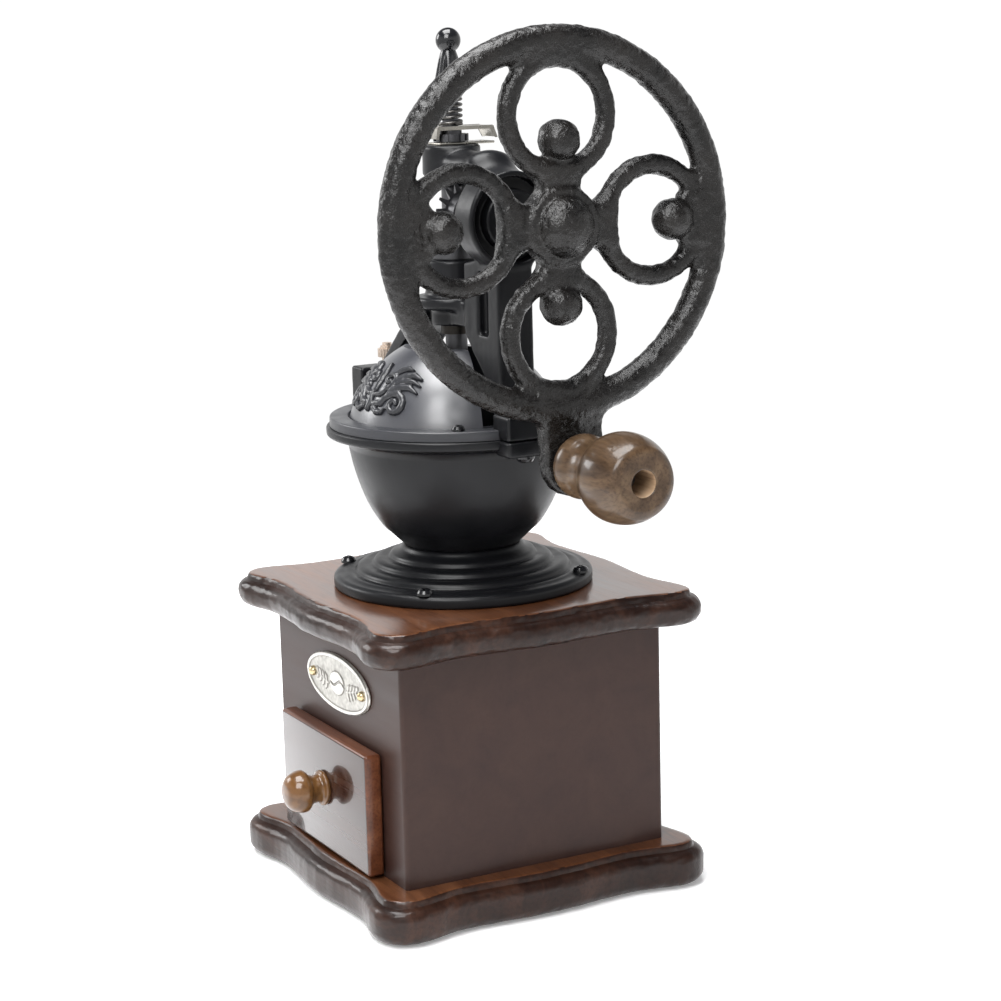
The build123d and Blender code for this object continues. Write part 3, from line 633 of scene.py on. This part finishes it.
def wheel_casting():
    # Rim, four loops, hub, balls and handle lug, cast as one piece with its axle at the origin
    step = 0.55
    low = (-11.5, -70.0, -94.5)
    high = (14.5, 70.0, 70.0)
    x, y, z = grid(low, high, step)
    sy = y * math.cos(SPOKE_LEAN) + z * math.sin(SPOKE_LEAN)
    sz = z * math.cos(SPOKE_LEAN) - y * math.sin(SPOKE_LEAN)
    shape = tube_ring(x, y, z, 61.3, 5.15)
    loops = None
    loop_out = 36.6
    for cy, cz in ((0, 1), (1, 0), (0, -1), (-1, 0)):
        loop = tube_ring(x * 1.02, sy - loop_out * cy, sz - loop_out * cz, 18.9, 3.6)
        loops = loop if loops is None else np.minimum(loops, loop)
    arms = np.minimum(
        soft_box(x, sy, sz, (-4.0, -7.4, -21.5), (4.0, 7.4, 21.5), 2.4),
        soft_box(x, sy, sz, (-4.0, -21.5, -7.4), (4.0, 21.5, 7.4), 2.4),
    )
    spokes = melt(loops, arms, 5.0)
    shape = melt(shape, spokes, 4.5)
    across = np.hypot(y, z)
    hub = soft_drum(x, across, -5.0, 4.8, 13.2, 1.4)
    shape = melt(shape, hub, 2.5)
    shape = melt(shape, soft_drum(x, across, -10.3, -3.0, 8.9, 1.0), 1.5)
    shape = melt(shape, np.hypot(across - 11.6, x - 4.2) - 1.5, 1.6)
    shape = melt(shape, ball(x, sy, sz, (2.0, 0, 0), 11.3), 1.2)
    for cy, cz in ((0, 28.4), (0, -26.4), (44.2, 0), (-44.2, 0)):
        shape = melt(shape, ball(x, sy, sz, (1.5, cy, cz), 7.3), 1.8)
    for side in (-1, 1):
        web = soft_box(x, sy * side, sz, (-3.3, 47.4, -9.2), (3.3, 58.0, 9.2), 2.2)
        shape = melt(shape, web, 2.6)
    lug = soft_box(x, y, z, (-3.5, -11.3, -PIN_ARM), (3.5, 11.3, -61.0), 1.3)
    lug = np.minimum(lug, soft_drum(x, np.hypot(y, z + PIN_ARM), -3.5, 3.5, 11.4, 1.3))
    shape = melt(shape, lug, 5.0)
    shape = shape + 0.20 + 0.17 * lumps(x, y, z, 3.4, 5) + 0.24 * lumps(x, y, z, 1.45, 6)
    obj = skin("wheel_casting", shape, low, step)
    turn = Matrix.Rotation(REST_TURN, 4, "X")
    obj.data.transform(Matrix.Translation((WHEEL_X * MM, 0, SPIN_AXLE_Z * MM)) @ turn)
    place(obj, "crank", "hammered_iron", IRON,
          "wheel_rim", "wheel_loops", "wheel_hub", "wheel_bosses", "handle_lug")


# -------------------------------------------------------------------- tower

def cast_tower():
    # Bearing head, arm, boss, post, lower bearing, leg and feet, cast as one piece
    step = 0.6
    low = (-56.0, -20.0, 170.0)
    high = (56.0, 13.0, 274.0)
    x, y, z = grid(low, high, step)
    about_axle = np.hypot(y, z - SPIN_AXLE_Z)
    about_spindle = np.hypot(x, y)
    head = soft_drum(x, about_axle, 33.0, 46.0, 17.0, 1.4)
    shape = melt(head, soft_drum(x, about_axle, 24.0, 34.0, 8.0, 0.8), 2.0)
    arm = rod(x, y * 0.62, z, (4, 0, 265.6), (29, 0, 265.2), 4.9)
    arm = melt(arm, rod(x, y * 0.62, z, (29, 0, 265.2), (39.5, 0, 256.0), 5.2), 3.0)
    shape = melt(shape, arm, 4.0)
    boss = soft_drum(z, about_spindle, 257.0, 272.0, 10.5, 1.3)
    boss = np.maximum(boss, (about_spindle - 7.5 - (z - 257.0) * 0.62) * 0.8)
    shape = melt(shape, boss, 1.6)
    post = [(52.5, 180), (47.5, 184), (46, 190), (46, 236), (33, 236),
            (28, 233), (20, 231.5), (20, 206), (42, 181), (42, 178)]
    column = slab(x, y, z, post, -7.0, 7.0, 1.2)
    channel = np.minimum(
        soft_box(x, y, z, (30.5, -9, 207), (37.5, -3.6, 229), 1.2),
        soft_box(x, y, z, (30.5, 3.6, 207), (37.5, 9, 229), 1.2),
    )
    column = carve(column, channel, 1.4)
    shape = melt(shape, column, 2.0)
    step_low = soft_drum(z, about_spindle, 204.0, 214.0, 9.0, 1.0)
    shelf = soft_drum(z, about_spindle, 213.6, 217.8, 14.8, 1.3)
    drum = soft_drum(z, about_spindle, 215.0, 231.0, 10.8, 1.0)
    bearing = melt(melt(step_low, shelf, 2.4), drum, 2.0)
    bridge = soft_box(x, y, z, (8, -6, 208), (24, 6, 217.4), 1.0)
    bearing = melt(bearing, bridge, 3.0)
    shape = melt(shape, bearing, 2.5)
    leg_outline = [(-8, 217), (-14, 216.5), (-46, 189), (-53, 186), (-53, 179), (-41, 179), (-8, 209)]
    leg = slab(x, y, z, leg_outline, -9.0, 9.0, 1.0)
    shape = melt(shape, leg, 2.0)
    shape = carve(shape, ball(x, y, z, (0, 0, DOME_CENTRE_Z), 45.2), 1.2)
    for side in (-1, 1):
        foot = soft_box(x, y, z, (48 * side - 6, -8.5, 171.6), (48 * side + 6, 8.5, 180.2), 0.9)
        shape = melt(shape, foot, 1.2)
    wing = soft_box(x, y, z, (-53, -18.4, 175), (-43.5, -7, 187.5), 0.9)
    shape = melt(shape, wing, 1.0)
    recess = np.maximum(np.abs(about_axle - 12.8) - 2.2, 41.0 - x)
    shape = carve(shape, recess, 1.0)
    shape = np.maximum(shape, 5.5 - about_spindle)
    shape = shape + 0.05 * lumps(x, y, z, 2.2, 21)
    obj = skin("cast_tower", shape, low, step)
    place(obj, "mill", "black_paint", PAINT, "tower_column", "tower_foot", "bearing_head", "top_arm",
          "top_boss", "step_boss", "step_bridge", "left_leg", "left_foot")


# ------------------------------------------------------- ornament on dome

def stroke(u, v, points):
    # Distance from a tapering line given as (u, v, half width)
    best = np.full(u.shape, 1e9)
    for (u0, v0, w0), (u1, v1, w1) in zip(points, points[1:]):
        du, dv = u1 - u0, v1 - v0
        t = np.clip(((u - u0) * du + (v - v0) * dv) / (du * du + dv * dv), 0, 1)
        best = np.minimum(best, np.hypot(u - u0 - t * du, v - v0 - t * dv) - w0 - t * (w1 - w0))
    return best


def ridge(u, v, points):
    # The same line as a share of its own half width: 0 on it, 1 at its edge
    best = np.full(u.shape, 1e9)
    for (u0, v0, w0), (u1, v1, w1) in zip(points, points[1:]):
        du, dv = u1 - u0, v1 - v0
        t = np.clip(((u - u0) * du + (v - v0) * dv) / (du * du + dv * dv), 0, 1)
        best = np.minimum(best, np.hypot(u - u0 - t * du, v - v0 - t * dv) / (w0 + t * (w1 - w0)))
    return best


def curl(centre, start, turn, outer, inner, wide, thin, count=16):
    points = []
    for i in range(count + 1):
        t = i / count
        a = math.radians(start + turn * t)
        r = outer + (inner - outer) * t
        w = wide + (thin - wide) * t
        points.append((centre[0] + r * math.cos(a), centre[1] + r * math.sin(a), w))
    return points


def frond(path, wide):
    # A leaf: narrow at both ends and widest a third of the way along
    count = len(path)
    return [(u, v, wide * (0.35 + 0.65 * math.sin(math.pi * min(1.0, 0.25 + 0.75 * i / (count - 1)))))
            for i, (u, v) in enumerate(path)]


def dome_scroll():
    # A leaf scroll laid out flat, mirrored, then bent over the dome
    step = 0.28
    low = (-31.0, -14.5, -0.9)
    high = (31.0, 15.5, 2.1)
    u, v, h = grid(low, high, step)
    strokes = []
    for side in (-1, 1):
        one = [
            curl((17.5, -6.0), 150, -470, 6.2, 1.2, 2.1, 1.3),
            curl((7.4, 5.2), -80, 420, 4.6, 0.9, 1.9, 1.1),
            frond([(12.0, 0.2), (16.5, 3.4), (21.0, 4.6), (26.0, 3.2)], 2.3),
            frond([(10.6, 4.6), (15.0, 9.4), (19.0, 11.4), (24.0, 10.6)], 2.5),
            frond([(13.0, 4.0), (17.0, 7.0), (21.5, 8.0), (25.6, 7.2)], 1.7),
            frond([(8.4, 8.8), (10.4, 12.0), (13.4, 13.8), (16.8, 13.6)], 2.0),
            frond([(3.4, -8.6), (8.4, -7.4), (11.2, -3.0), (12.4, 2.6)], 2.1),
            frond([(2.2, -3.8), (5.4, -3.2), (8.0, -1.4), (9.6, 1.6)], 1.6),
            frond([(4.6, -10.6), (8.0, -12.0), (11.2, -11.6), (13.0, -9.6)], 1.8),
        ]
        strokes += [[(side * a, b, w) for a, b, w in line] for line in one]
    strokes.append(frond([(0, -11.5), (0, -7.0), (0, -2.0)], 2.2))
    strokes.append(frond([(0, -1.0), (0, 5.0), (0, 10.0), (0, 13.6)], 2.5))
    shape = None
    for line in strokes:
        one = np.hypot(ridge(u, v, line), np.maximum(h, -0.4) / 1.45) - 1
        shape = one if shape is None else melt(shape, one, 0.10)
    shape = shape + 0.06 * lumps(u, v, h, 1.6, 31)
    shape = np.maximum(shape, -0.55 - h)
    scale = 0.74 / 42.4
    tilt = math.radians(54)
    swing = math.radians(4)

    def warp(p):
        radius = 41.5 + p[:, 2]
        lx = scale * p[:, 0]
        ly = scale * p[:, 1]
        lz = np.sqrt(np.maximum(1 - lx * lx - ly * ly, 0))
        y1 = ly * math.cos(tilt) - lz * math.sin(tilt)
        z1 = ly * math.sin(tilt) + lz * math.cos(tilt)
        x2 = lx * math.cos(swing) - y1 * math.sin(swing)
        y2 = lx * math.sin(swing) + y1 * math.cos(swing)
        return np.stack([x2 * radius, y2 * radius, z1 * radius + DOME_CENTRE_Z], 1)

    obj = skin("dome_scroll", shape, low, step, warp)
    # The relief takes a lighter copy of the black paint, which is painted light
    place(obj, "cover", "black_paint", LIT_RELIEF_PAINT, "dome_relief")


# ------------------------------------------------------------ turned pieces

def flowing(points, per=6):
    # A smooth line through all the points
    points = [Vector(p) for p in points]
    out = []
    for i in range(len(points) - 1):
        p0 = points[max(i - 1, 0)]
        p1 = points[i]
        p2 = points[i + 1]
        p3 = points[min(i + 2, len(points) - 1)]
        for k in range(per):
            t = k / per
            out.append(tuple(0.5 * ((2 * p1) + (p2 - p0) * t + (2 * p0 - 5 * p1 + 4 * p2 - p3) * t * t
                                    + (3 * p1 - p0 - 3 * p2 + p3) * t ** 3)))
    out.append(tuple(points[-1]))
    return out


def turned_grip():
    shape = [(9.4, 80.8), (10.7, 82.4), (11.2, 85.0), (10.7, 87.8), (9.7, 90.2), (9.4, 93.2),
             (9.9, 96.4), (11.5, 99.6), (13.7, 103.0), (15.1, 107.0), (15.4, 110.6), (15.0, 114.6),
             (13.9, 118.4), (12.5, 121.4)]
    end = [(11.8, 122.6), (9.6, 123.4), (GRIP_HOLE + 0.3, 123.4), (GRIP_HOLE, 122.2), (GRIP_HOLE, 108.6)]
    outline = [(PIN_BORE, 80.8)] + flowing(shape) + rounded(end, 0.7) + [(PIN_BORE, 108.4)]
    at = Matrix.Translation((0, 0, SPIN_AXLE_Z - PIN_ARM)) @ Matrix.Rotation(math.radians(90), 4, "Y")
    obj = lathe("turned_grip", outline, closed=True, place_at=at, smooth_angle=50.0)
    on_wheel(obj)
    place(obj, "grip", "grip_wood", GRIP_WOOD, "wooden_grip")
    obj.data.materials.append(BARE_WOOD)
    axis_y = PIN_ARM * math.sin(REST_TURN)
    axis_z = SPIN_AXLE_Z - PIN_ARM * math.cos(REST_TURN)

    def in_bore(centre, normal):
        return np.hypot(centre[:, 1] - axis_y, centre[:, 2] - axis_z) < GRIP_HOLE + 0.2

    paint_faces(obj, in_bore)


def turned_knob():
    low, high = corners_mm("drawer_knob")
    middle = (low[2] + high[2]) / 2
    front = high[1]
    shape = [(6.2, 0.1), (6.5, 0.8), (6.3, 1.5), (5.3, 2.2), (5.0, 3.4), (5.2, 5.0), (5.9, 6.4),
             (7.1, 7.3), (7.7, 8.3), (7.75, 9.6), (7.2, 11.8), (5.9, 13.9), (3.6, 15.3), (0.0, 15.7)]
    outline = [(0.0, 9.5), (2.05, 9.5), (2.05, 0.1)] + flowing(shape)
    at = Matrix.Translation((0, front, middle)) @ Matrix.Rotation(math.radians(90), 4, "X")
    obj = lathe("turned_knob", outline, 96, place_at=at, smooth_angle=60.0)
    place(obj, "drawer", "knob_wood", KNOB_WOOD, "drawer_knob")


def flange_and_lid():
    # Stepped flange under the bowl, the bowl with its two ears, and the lid ring on its rim
    shape = [(18.2, DECK + 15.0), (22.0, DECK + 15.0), (23.2, DECK + 13.2)]
    for radius, height in ((26.8, 11.8), (33.0, 9.4), (39.4, 6.9), (44.6, 4.8)):
        shape.append((radius - 2.2, DECK + height + 0.75))
        shape.append((radius - 0.2, DECK + height))
        shape.append((radius + 0.5, DECK + height - 1.9))
    shape = shape[:-1] + [(46.6, DECK + 4.7), (48.0, DECK + 3.6), (48.1, DECK + 0.05), (18.2, DECK + 0.05)]
    obj = lathe("turned_flange", rounded(shape, 1.3, 6)[::-1], 160, closed=True, smooth_angle=40.0)
    place(obj, "mill", "black_paint", PAINT, "stepped_flange")
    rim = [(36.7, 171.6), (36.7, 175.0), (37.3, 175.0), (37.3, 173.9),
           (40.4, 173.9), (40.5, 175.0), (47.4, 175.0), (47.5, 171.6)]
    obj = lathe("lid_plate", rounded(rim, 0.7)[::-1], 160, closed=True, smooth_angle=40.0)
    # The lid ring takes a lighter copy of the black paint, which is painted light on its top
    place(obj, "mill", "black_paint", LIT_LID_PAINT, "lid_ring")
    wall = [(21.5, 126.6), (26.2, 131), (30.0, 135), (34.2, 142), (37.2, 149.5), (39.4, 157), (40.8, 164)]
    lip = [(40.8, 164), (42.2, 166.6), (47.2, 167.7), (48.7, 168.3), (48.8, 171.4), (38.4, 171.5),
           (37.7, 164.6)]
    inner = [(37.6, 164.8), (36.4, 157.8), (34.2, 150.3), (31.2, 142.8), (27.0, 135.8), (23.2, 131.8),
             (18.2, 128.1)]
    outline = flowing(wall)[:-1] + rounded(lip, 1.0)[:-1] + flowing(inner) + [(18.2, 126.6)]
    obj = lathe("hopper_shell", outline, 160, closed=True, smooth_angle=40.0)
    ears = []
    for side in (-1, 1):
        ears.append(beveled_box("ear", (49.5 * side - 5.5, -9, 165.8), (49.5 * side + 5.5, 9, 171.4), 1.2, 3))
    obj = joined("hopper_shell_and_ears", [obj] + ears)
    place(obj, "mill", "black_paint", PAINT, "hopper_bowl")


def fluted_finial():
    # Eight soft flutes on the cone below the ball
    cone = [(5.0, 290.1), (5.5, 290.9), (5.55, 292.4), (5.2, 294.8), (4.5, 298.2), (3.8, 301.4),
            (3.2, 303.6)]
    outline = [(0.0, 290.1)] + flowing(cone)
    for degrees in range(-54, 91, 8):
        a = math.radians(degrees)
        outline.append((FINIAL_BALL * math.cos(a), FINIAL_BALL_Z + FINIAL_BALL * math.sin(a)))
    outline[-1] = (0.0, FINIAL_BALL_Z + FINIAL_BALL)
    obj = lathe("fluted_finial", outline, smooth_angle=50.0)
    flute_low, flute_high = 292.0, 303.8
    for vert in obj.data.vertices:
        x, y, z = vert.co / MM
        if flute_low < z < flute_high:
            fade = math.sin(math.pi * (z - flute_low) / (flute_high - flute_low))
            a = math.atan2(y, x)
            cut = 1 - 0.20 * fade * max(0.0, math.cos(8 * a)) ** 1.5
            vert.co.x *= cut
            vert.co.y *= cut
    place(obj, "spindle", "black_gloss", BLACK_GLOSS, "finial")


def coil_spring():
    # Closed coils at both ends and open ones between
    low, high = corners_mm("spring")
    wire = 0.55
    bottom = low[2] + wire
    top = high[2] - wire
    per_turn, around = 40, 12
    turns = 6.5
    steps = int(turns * per_turn)
    points = []
    for i in range(steps + 1):
        angle = 2 * math.pi * i / per_turn
        share = min(max((i / per_turn - 0.7) / (turns - 1.4), 0.0), 1.0)
        height = bottom + (top - bottom) * share
        tall = wire if 0 < i < steps else wire * 0.6
        for k in range(around):
            turn = 2 * math.pi * k / around
            radius = 4.0 + wire * math.cos(turn)
            z = height + tall * math.sin(turn)
            points.append((radius * math.cos(angle), radius * math.sin(angle), z))
    faces = []
    for i in range(steps):
        for k in range(around):
            after = (k + 1) % around
            faces.append((i * around + k, (i + 1) * around + k, (i + 1) * around + after, i * around + after))
    faces.append(tuple(range(around)))
    faces.append(tuple(steps * around + k for k in reversed(range(around))))
    obj = mesh_object("coil_spring", points, faces, 60.0)
    place(obj, "click", "spring_steel", SPRING, "spring")
    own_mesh(obj)


# ------------------------------------------------------------------- wood

def plate_edge(inset):
    # The wavy outline of both plates, moved in by inset, and its normals
    half = PLATE_HALF
    lobe = half - PLATE_CORNER
    side = []
    knots = [(-lobe, half), (-34.0, half - 3.6), (0.0, half - 1.4), (34.0, half - 3.6), (lobe, half)]
    slopes = [0.0, -0.02, 0.0, 0.02, 0.0]
    for (x0, y0), (x1, y1), s0, s1 in zip(knots, knots[1:], slopes, slopes[1:]):
        for i in range(30):
            t = i / 30
            run = x1 - x0
            y = (y0 * (2 * t ** 3 - 3 * t * t + 1) + s0 * run * (t ** 3 - 2 * t * t + t)
                 + y1 * (3 * t * t - 2 * t ** 3) + s1 * run * (t ** 3 - t * t))
            side.append((x0 + run * t, -y))
    for i in range(24):
        a = math.radians(-90 + 90 * i / 24)
        side.append((lobe + PLATE_CORNER * math.cos(a), -lobe + PLATE_CORNER * math.sin(a)))
    ring = []
    for turn in range(4):
        c, s = ((1, 0), (0, 1), (-1, 0), (0, -1))[turn]
        ring += [(x * c - y * s, x * s + y * c) for x, y in side]
    ring = np.array(ring)
    ahead = np.roll(ring, -1, 0) - np.roll(ring, 1, 0)
    ahead /= np.linalg.norm(ahead, axis=1)[:, None]
    outward = np.stack([ahead[:, 1], -ahead[:, 0]], 1)
    return ring - outward * inset, outward


def wavy_plate(name, node, z0, z1, seed, rough):
    # Profile points are (distance in from the outline, height), from the underside up
    nose_top = z1 - 2.4
    under = 4.4
    top = 4.0
    profile = [(11.0, z0), (under, z0)]
    for i in range(1, 9):
        a = math.radians(-90 + 90 * i / 9)
        profile.append((under - under * math.cos(a), z0 + under + under * math.sin(a)))
    for i in range(9):
        a = math.radians(80 * i / 8)
        profile.append((top - top * math.cos(a), nose_top - top + top * math.sin(a)))
    profile += [(3.7, nose_top + 0.1), (3.95, nose_top + 0.9), (4.2, z1 - 0.75), (4.6, z1 - 0.25),
                (5.3, z1 - 0.02), (6.5, z1), (11.0, z1)]
    points = []
    for inset, z in profile:
        ring, outward = plate_edge(inset)
        wear = np.zeros(len(ring))
        if inset < 5.0:
            x, y, zz = ring[:, 0], ring[:, 1], np.full(len(ring), z)
            gnarled = 0.9 + 0.8 * (outward[:, 0] > 0.7)
            broad = 0.30 * lumps(x, y, zz * 1.4, 7.0, seed)
            small = 0.20 * gnarled * lumps(x, y, zz * 1.6, 2.2, seed + 1)
            wear = rough * (broad + small) - 0.30 * rough
        ring = ring + outward * wear[:, None]
        points += [(x, y, z) for x, y in ring]
    count = len(ring)
    faces = []
    for k in range(len(profile) - 1):
        for i in range(count):
            j = (i + 1) % count
            faces.append((k * count + i, k * count + j, (k + 1) * count + j, (k + 1) * count + i))
    last = (len(profile) - 1) * count
    faces.append(tuple(range(last, last + count)))
    faces.append(tuple(reversed(range(count))))
    obj = mesh_object(name, points, faces, 40.0)
    place(obj, "mill", "moulded_wood", TOP_WOOD, node)
    obj.data.materials.append(EDGE_WOOD)
    paint_faces(obj, lambda centre, normal: (normal[:, 2] < 0.8) | (centre[:, 2] < z1 - 0.6))


def drawer_panel():
    # Glossy in front, red brown round its edges
    low, high = corners_mm("drawer_front")
    obj = beveled_box("drawer_panel", low, high, 1.3, 4)
    place(obj, "drawer", "drawer_wood", RED_WOOD, "drawer_front")
    obj.data.materials.append(FACE_WOOD)
    paint_faces(obj, lambda centre, normal: normal[:, 1] < -0.97)


def plaque_metal(face, depth):
    # Bright where the relief stands proud, darker in its hollows: painted shade, set by height
    s = Shader("plaque_nickel", (0.6, 0.58, 0.54), 0.36, 0.55)
    split = s.node("ShaderNodeSeparateXYZ")
    s.link(s.coords, split.inputs["Vector"])
    height = s.spread(split.outputs["Y"], 0.0, 1.0, face * MM, (face - depth) * MM)
    # Painted shade: the ramp darkens the heights just above the plate, where the relief rises from it
    tone = s.ramp(height, [
        (0.30, (0.66, 0.645, 0.60)), (0.50, (0.20, 0.19, 0.17)),
        (0.72, (0.24, 0.23, 0.21)), (0.94, (0.74, 0.72, 0.68)),
    ])
    cloud = s.ramp(s.noise(260.0, 4.0), [(0.3, (0.82, 0.82, 0.82)), (0.7, (1, 1, 1))])
    s.colour(s.blend("MULTIPLY", 1.0, tone, cloud))
    s.roughness(s.spread(s.noise(700.0, 3.0), 0.28, 0.46, 0.3, 0.7))
    return s.material


def plaque():
    # An oval plate with a raised edge, a coffee bean and a sprig on each side of it
    step = 0.24
    low = (-27.2, -11.2, -0.3)
    high = (27.2, 11.2, 2.0)
    u, v, h = grid(low, high, step)

    def oval(a, b):
        return (np.hypot(u / a, v / b) - 1) * min(a, b) * 0.9

    def raised(plan, top, edge=0.35):
        return crossing(plan + edge, np.abs(h - top / 2) - top / 2 + edge, edge)

    shape = raised(oval(26.5, 10.5), 0.95)
    band = np.maximum(oval(26.3, 10.3), -oval(24.6, 8.9))
    shape = melt(shape, raised(band, 1.55, 0.4), 0.3)
    bean = (np.hypot(u / 6.0, v / 4.3) - 1) * 4.3
    groove = np.abs(v - 1.1 * np.sin(u * 0.55)) - 0.42
    bean = np.maximum(bean, -groove)
    shape = melt(shape, raised(bean, 1.5, 0.4), 0.25)
    for side in (-1, 1):
        stem = [(side * 7.5, -1.6, 0.45), (side * 11.5, -0.9, 0.42),
                (side * 15.5, 0.3, 0.36), (side * 18.0, 1.6, 0.3)]
        shape = melt(shape, raised(stroke(u, v, stem), 1.35, 0.25), 0.25)
        for i in range(4):
            x0 = side * (8.6 + 2.5 * i)
            y0 = -1.3 + 0.55 * i
            for lift in (-1, 1):
                tip = (x0 + side * 2.0, y0 + lift * (3.2 - 0.35 * i), 0.15)
                mid = (x0 + side * 0.9, y0 + lift * (1.8 - 0.15 * i), 0.78)
                shape = melt(shape, raised(stroke(u, v, [(x0, y0, 0.3), mid, tip]), 1.4, 0.25), 0.2)
    shape = shape + 0.05 * lumps(u, v, h, 0.9, 41)
    low_mm, high_mm = corners_mm("nameplate")
    middle = [(a + b) / 2 for a, b in zip(low_mm, high_mm)]

    def warp(p):
        return np.stack([p[:, 0] + middle[0], high_mm[1] - p[:, 2], p[:, 1] + middle[2]], 1)

    obj = skin("plaque", shape, low, step, warp)
    metal = plaque_metal(high_mm[1] - 0.55, 1.0)
    place(obj, "mill", "nickel", metal, "nameplate")


def click_strips():
    # The flat strip on the boss and the bent one above it
    base_low, base_high = corners_mm("click_base")
    obj = beveled_box("click_base_strip", base_low, base_high, 0.3, 3)
    place(obj, "mill", "nickel", NICKEL, "click_base")
    low, high = corners_mm("click_plate")
    outline = [(-8.2, 0), (-7.6, 4.0), (-7.2, 4.2), (14.2, 4.2), (14.7, 4.0), (16.2, 0), (15.4, 0),
               (13.6, 3.2), (-6.9, 3.2), (-7.5, 0)]
    points = [(x, y, low[2] + z) for x in (low[0], high[0]) for y, z in outline]
    count = len(outline)
    faces = [tuple(range(count)), tuple(reversed(range(count, 2 * count)))]
    faces += [(i, (i + 1) % count, (i + 1) % count + count, i + count) for i in range(count)]
    faces = [tuple(reversed(f)) for f in faces]
    obj = mesh_object("click_strip", points, faces)
    mod = obj.modifiers.new("bevel", "BEVEL")
    mod.width = 0.18 * MM
    mod.segments = 3
    applied(obj)
    obj.data.shade_smooth()
    obj.data.set_sharp_from_angle(angle=math.radians(40))
    place(obj, "click", "nickel", NICKEL, "click_plate")


# -------------------------------------------------------------------- stage

def floor_and_light():
    # A white floor and a soft light from all round below, with three lamps above
    floor = lathe("floor", [(0.0, 0.0), (620.0, 0.0)], 96)
    paper = Shader("paper", (0.90, 0.90, 0.905), 0.6)
    paper.colour(paper.ramp(paper.noise(3.0, 2.0), [(0.3, (0.89, 0.89, 0.895)), (0.7, (0.91, 0.91, 0.915))]))
    paper.main.inputs["Emission Color"].default_value = (1.0, 1.0, 1.0, 1.0)
    paper.main.inputs["Emission Strength"].default_value = 0.22
    floor.data.materials.append(paper.material)
    bpy.context.scene.view_settings.view_transform = "Standard"
    world = bpy.data.worlds.new("studio")
    bpy.context.scene.world = world
    world.use_nodes = True
    tree = world.node_tree
    coords = tree.nodes.new("ShaderNodeTexCoord")
    split = tree.nodes.new("ShaderNodeSeparateXYZ")
    tones = tree.nodes.new("ShaderNodeValToRGB")
    tree.links.new(coords.outputs["Generated"], split.inputs["Vector"])
    tree.links.new(split.outputs["Z"], tones.inputs["Fac"])
    elements = tones.color_ramp.elements
    elements[0].position = 0.30
    elements[0].color = (1.0, 1.0, 1.0, 1.0)
    elements[1].position = 0.58
    elements[1].color = (0.14, 0.145, 0.16, 1.0)
    tree.links.new(tones.outputs["Color"], tree.nodes["Background"].inputs["Color"])
    tree.nodes["Background"].inputs["Strength"].default_value = 1.02
    for name, spot, size, power in (
        ("overhead", (-0.05, -0.15, 1.30), 0.8, 26.0),
        ("left", (-1.05, -0.75, 0.70), 0.5, 6.5),
        ("front", (0.62, -0.62, 0.98), 0.62, 14.0),
    ):
        data = bpy.data.lights.new(name, "AREA")
        data.size = size
        data.energy = power
        lamp = bpy.data.objects.new(name, data)
        bpy.context.collection.objects.link(lamp)
        lamp.location = spot
        aim = Vector((0.02, 0.0, 0.16)) - Vector(spot)
        lamp.rotation_euler = aim.to_track_quat("-Z", "Y").to_euler()


def camera():
    # Seen from the drawer's right, a little above the wheel's middle
    azimuth = math.radians(61.87)
    rise = math.radians(11.32)
    roll = math.radians(-1.46)
    target = Vector((6.908, 12.770, 141.048)) * MM
    back = Vector((math.sin(azimuth) * math.cos(rise), -math.cos(azimuth) * math.cos(rise), math.sin(rise)))
    right = Vector((math.cos(azimuth), math.sin(azimuth), 0.0))
    up = back.cross(right)
    turned_right = right * math.cos(roll) + up * math.sin(roll)
    turned_up = up * math.cos(roll) - right * math.sin(roll)
    data = bpy.data.cameras.new("camera")
    data.sensor_width = 36.0
    data.lens = 86.53
    data.clip_start = 0.01
    data.clip_end = 20.0
    cam = bpy.data.objects.new("camera", data)
    bpy.context.collection.objects.link(cam)
    axes = Matrix((turned_right, turned_up, back)).transposed()
    cam.matrix_world = Matrix.Translation(target + back * 890.35 * MM) @ axes.to_4x4()
    bpy.context.scene.camera = cam


dress_cad_nodes()
wheel_casting()
cast_tower()
dome_scroll()
turned_grip()
turned_knob()
flange_and_lid()
fluted_finial()
coil_spring()
wavy_plate("top_board", "top_plate", BOX_TOP, DECK, 51, 1.0)
wavy_plate("base_board", "base_plate", FELT_TOP, BASE_TOP, 57, 0.7)
drawer_panel()
plaque()
click_strips()
floor_and_light()
camera()
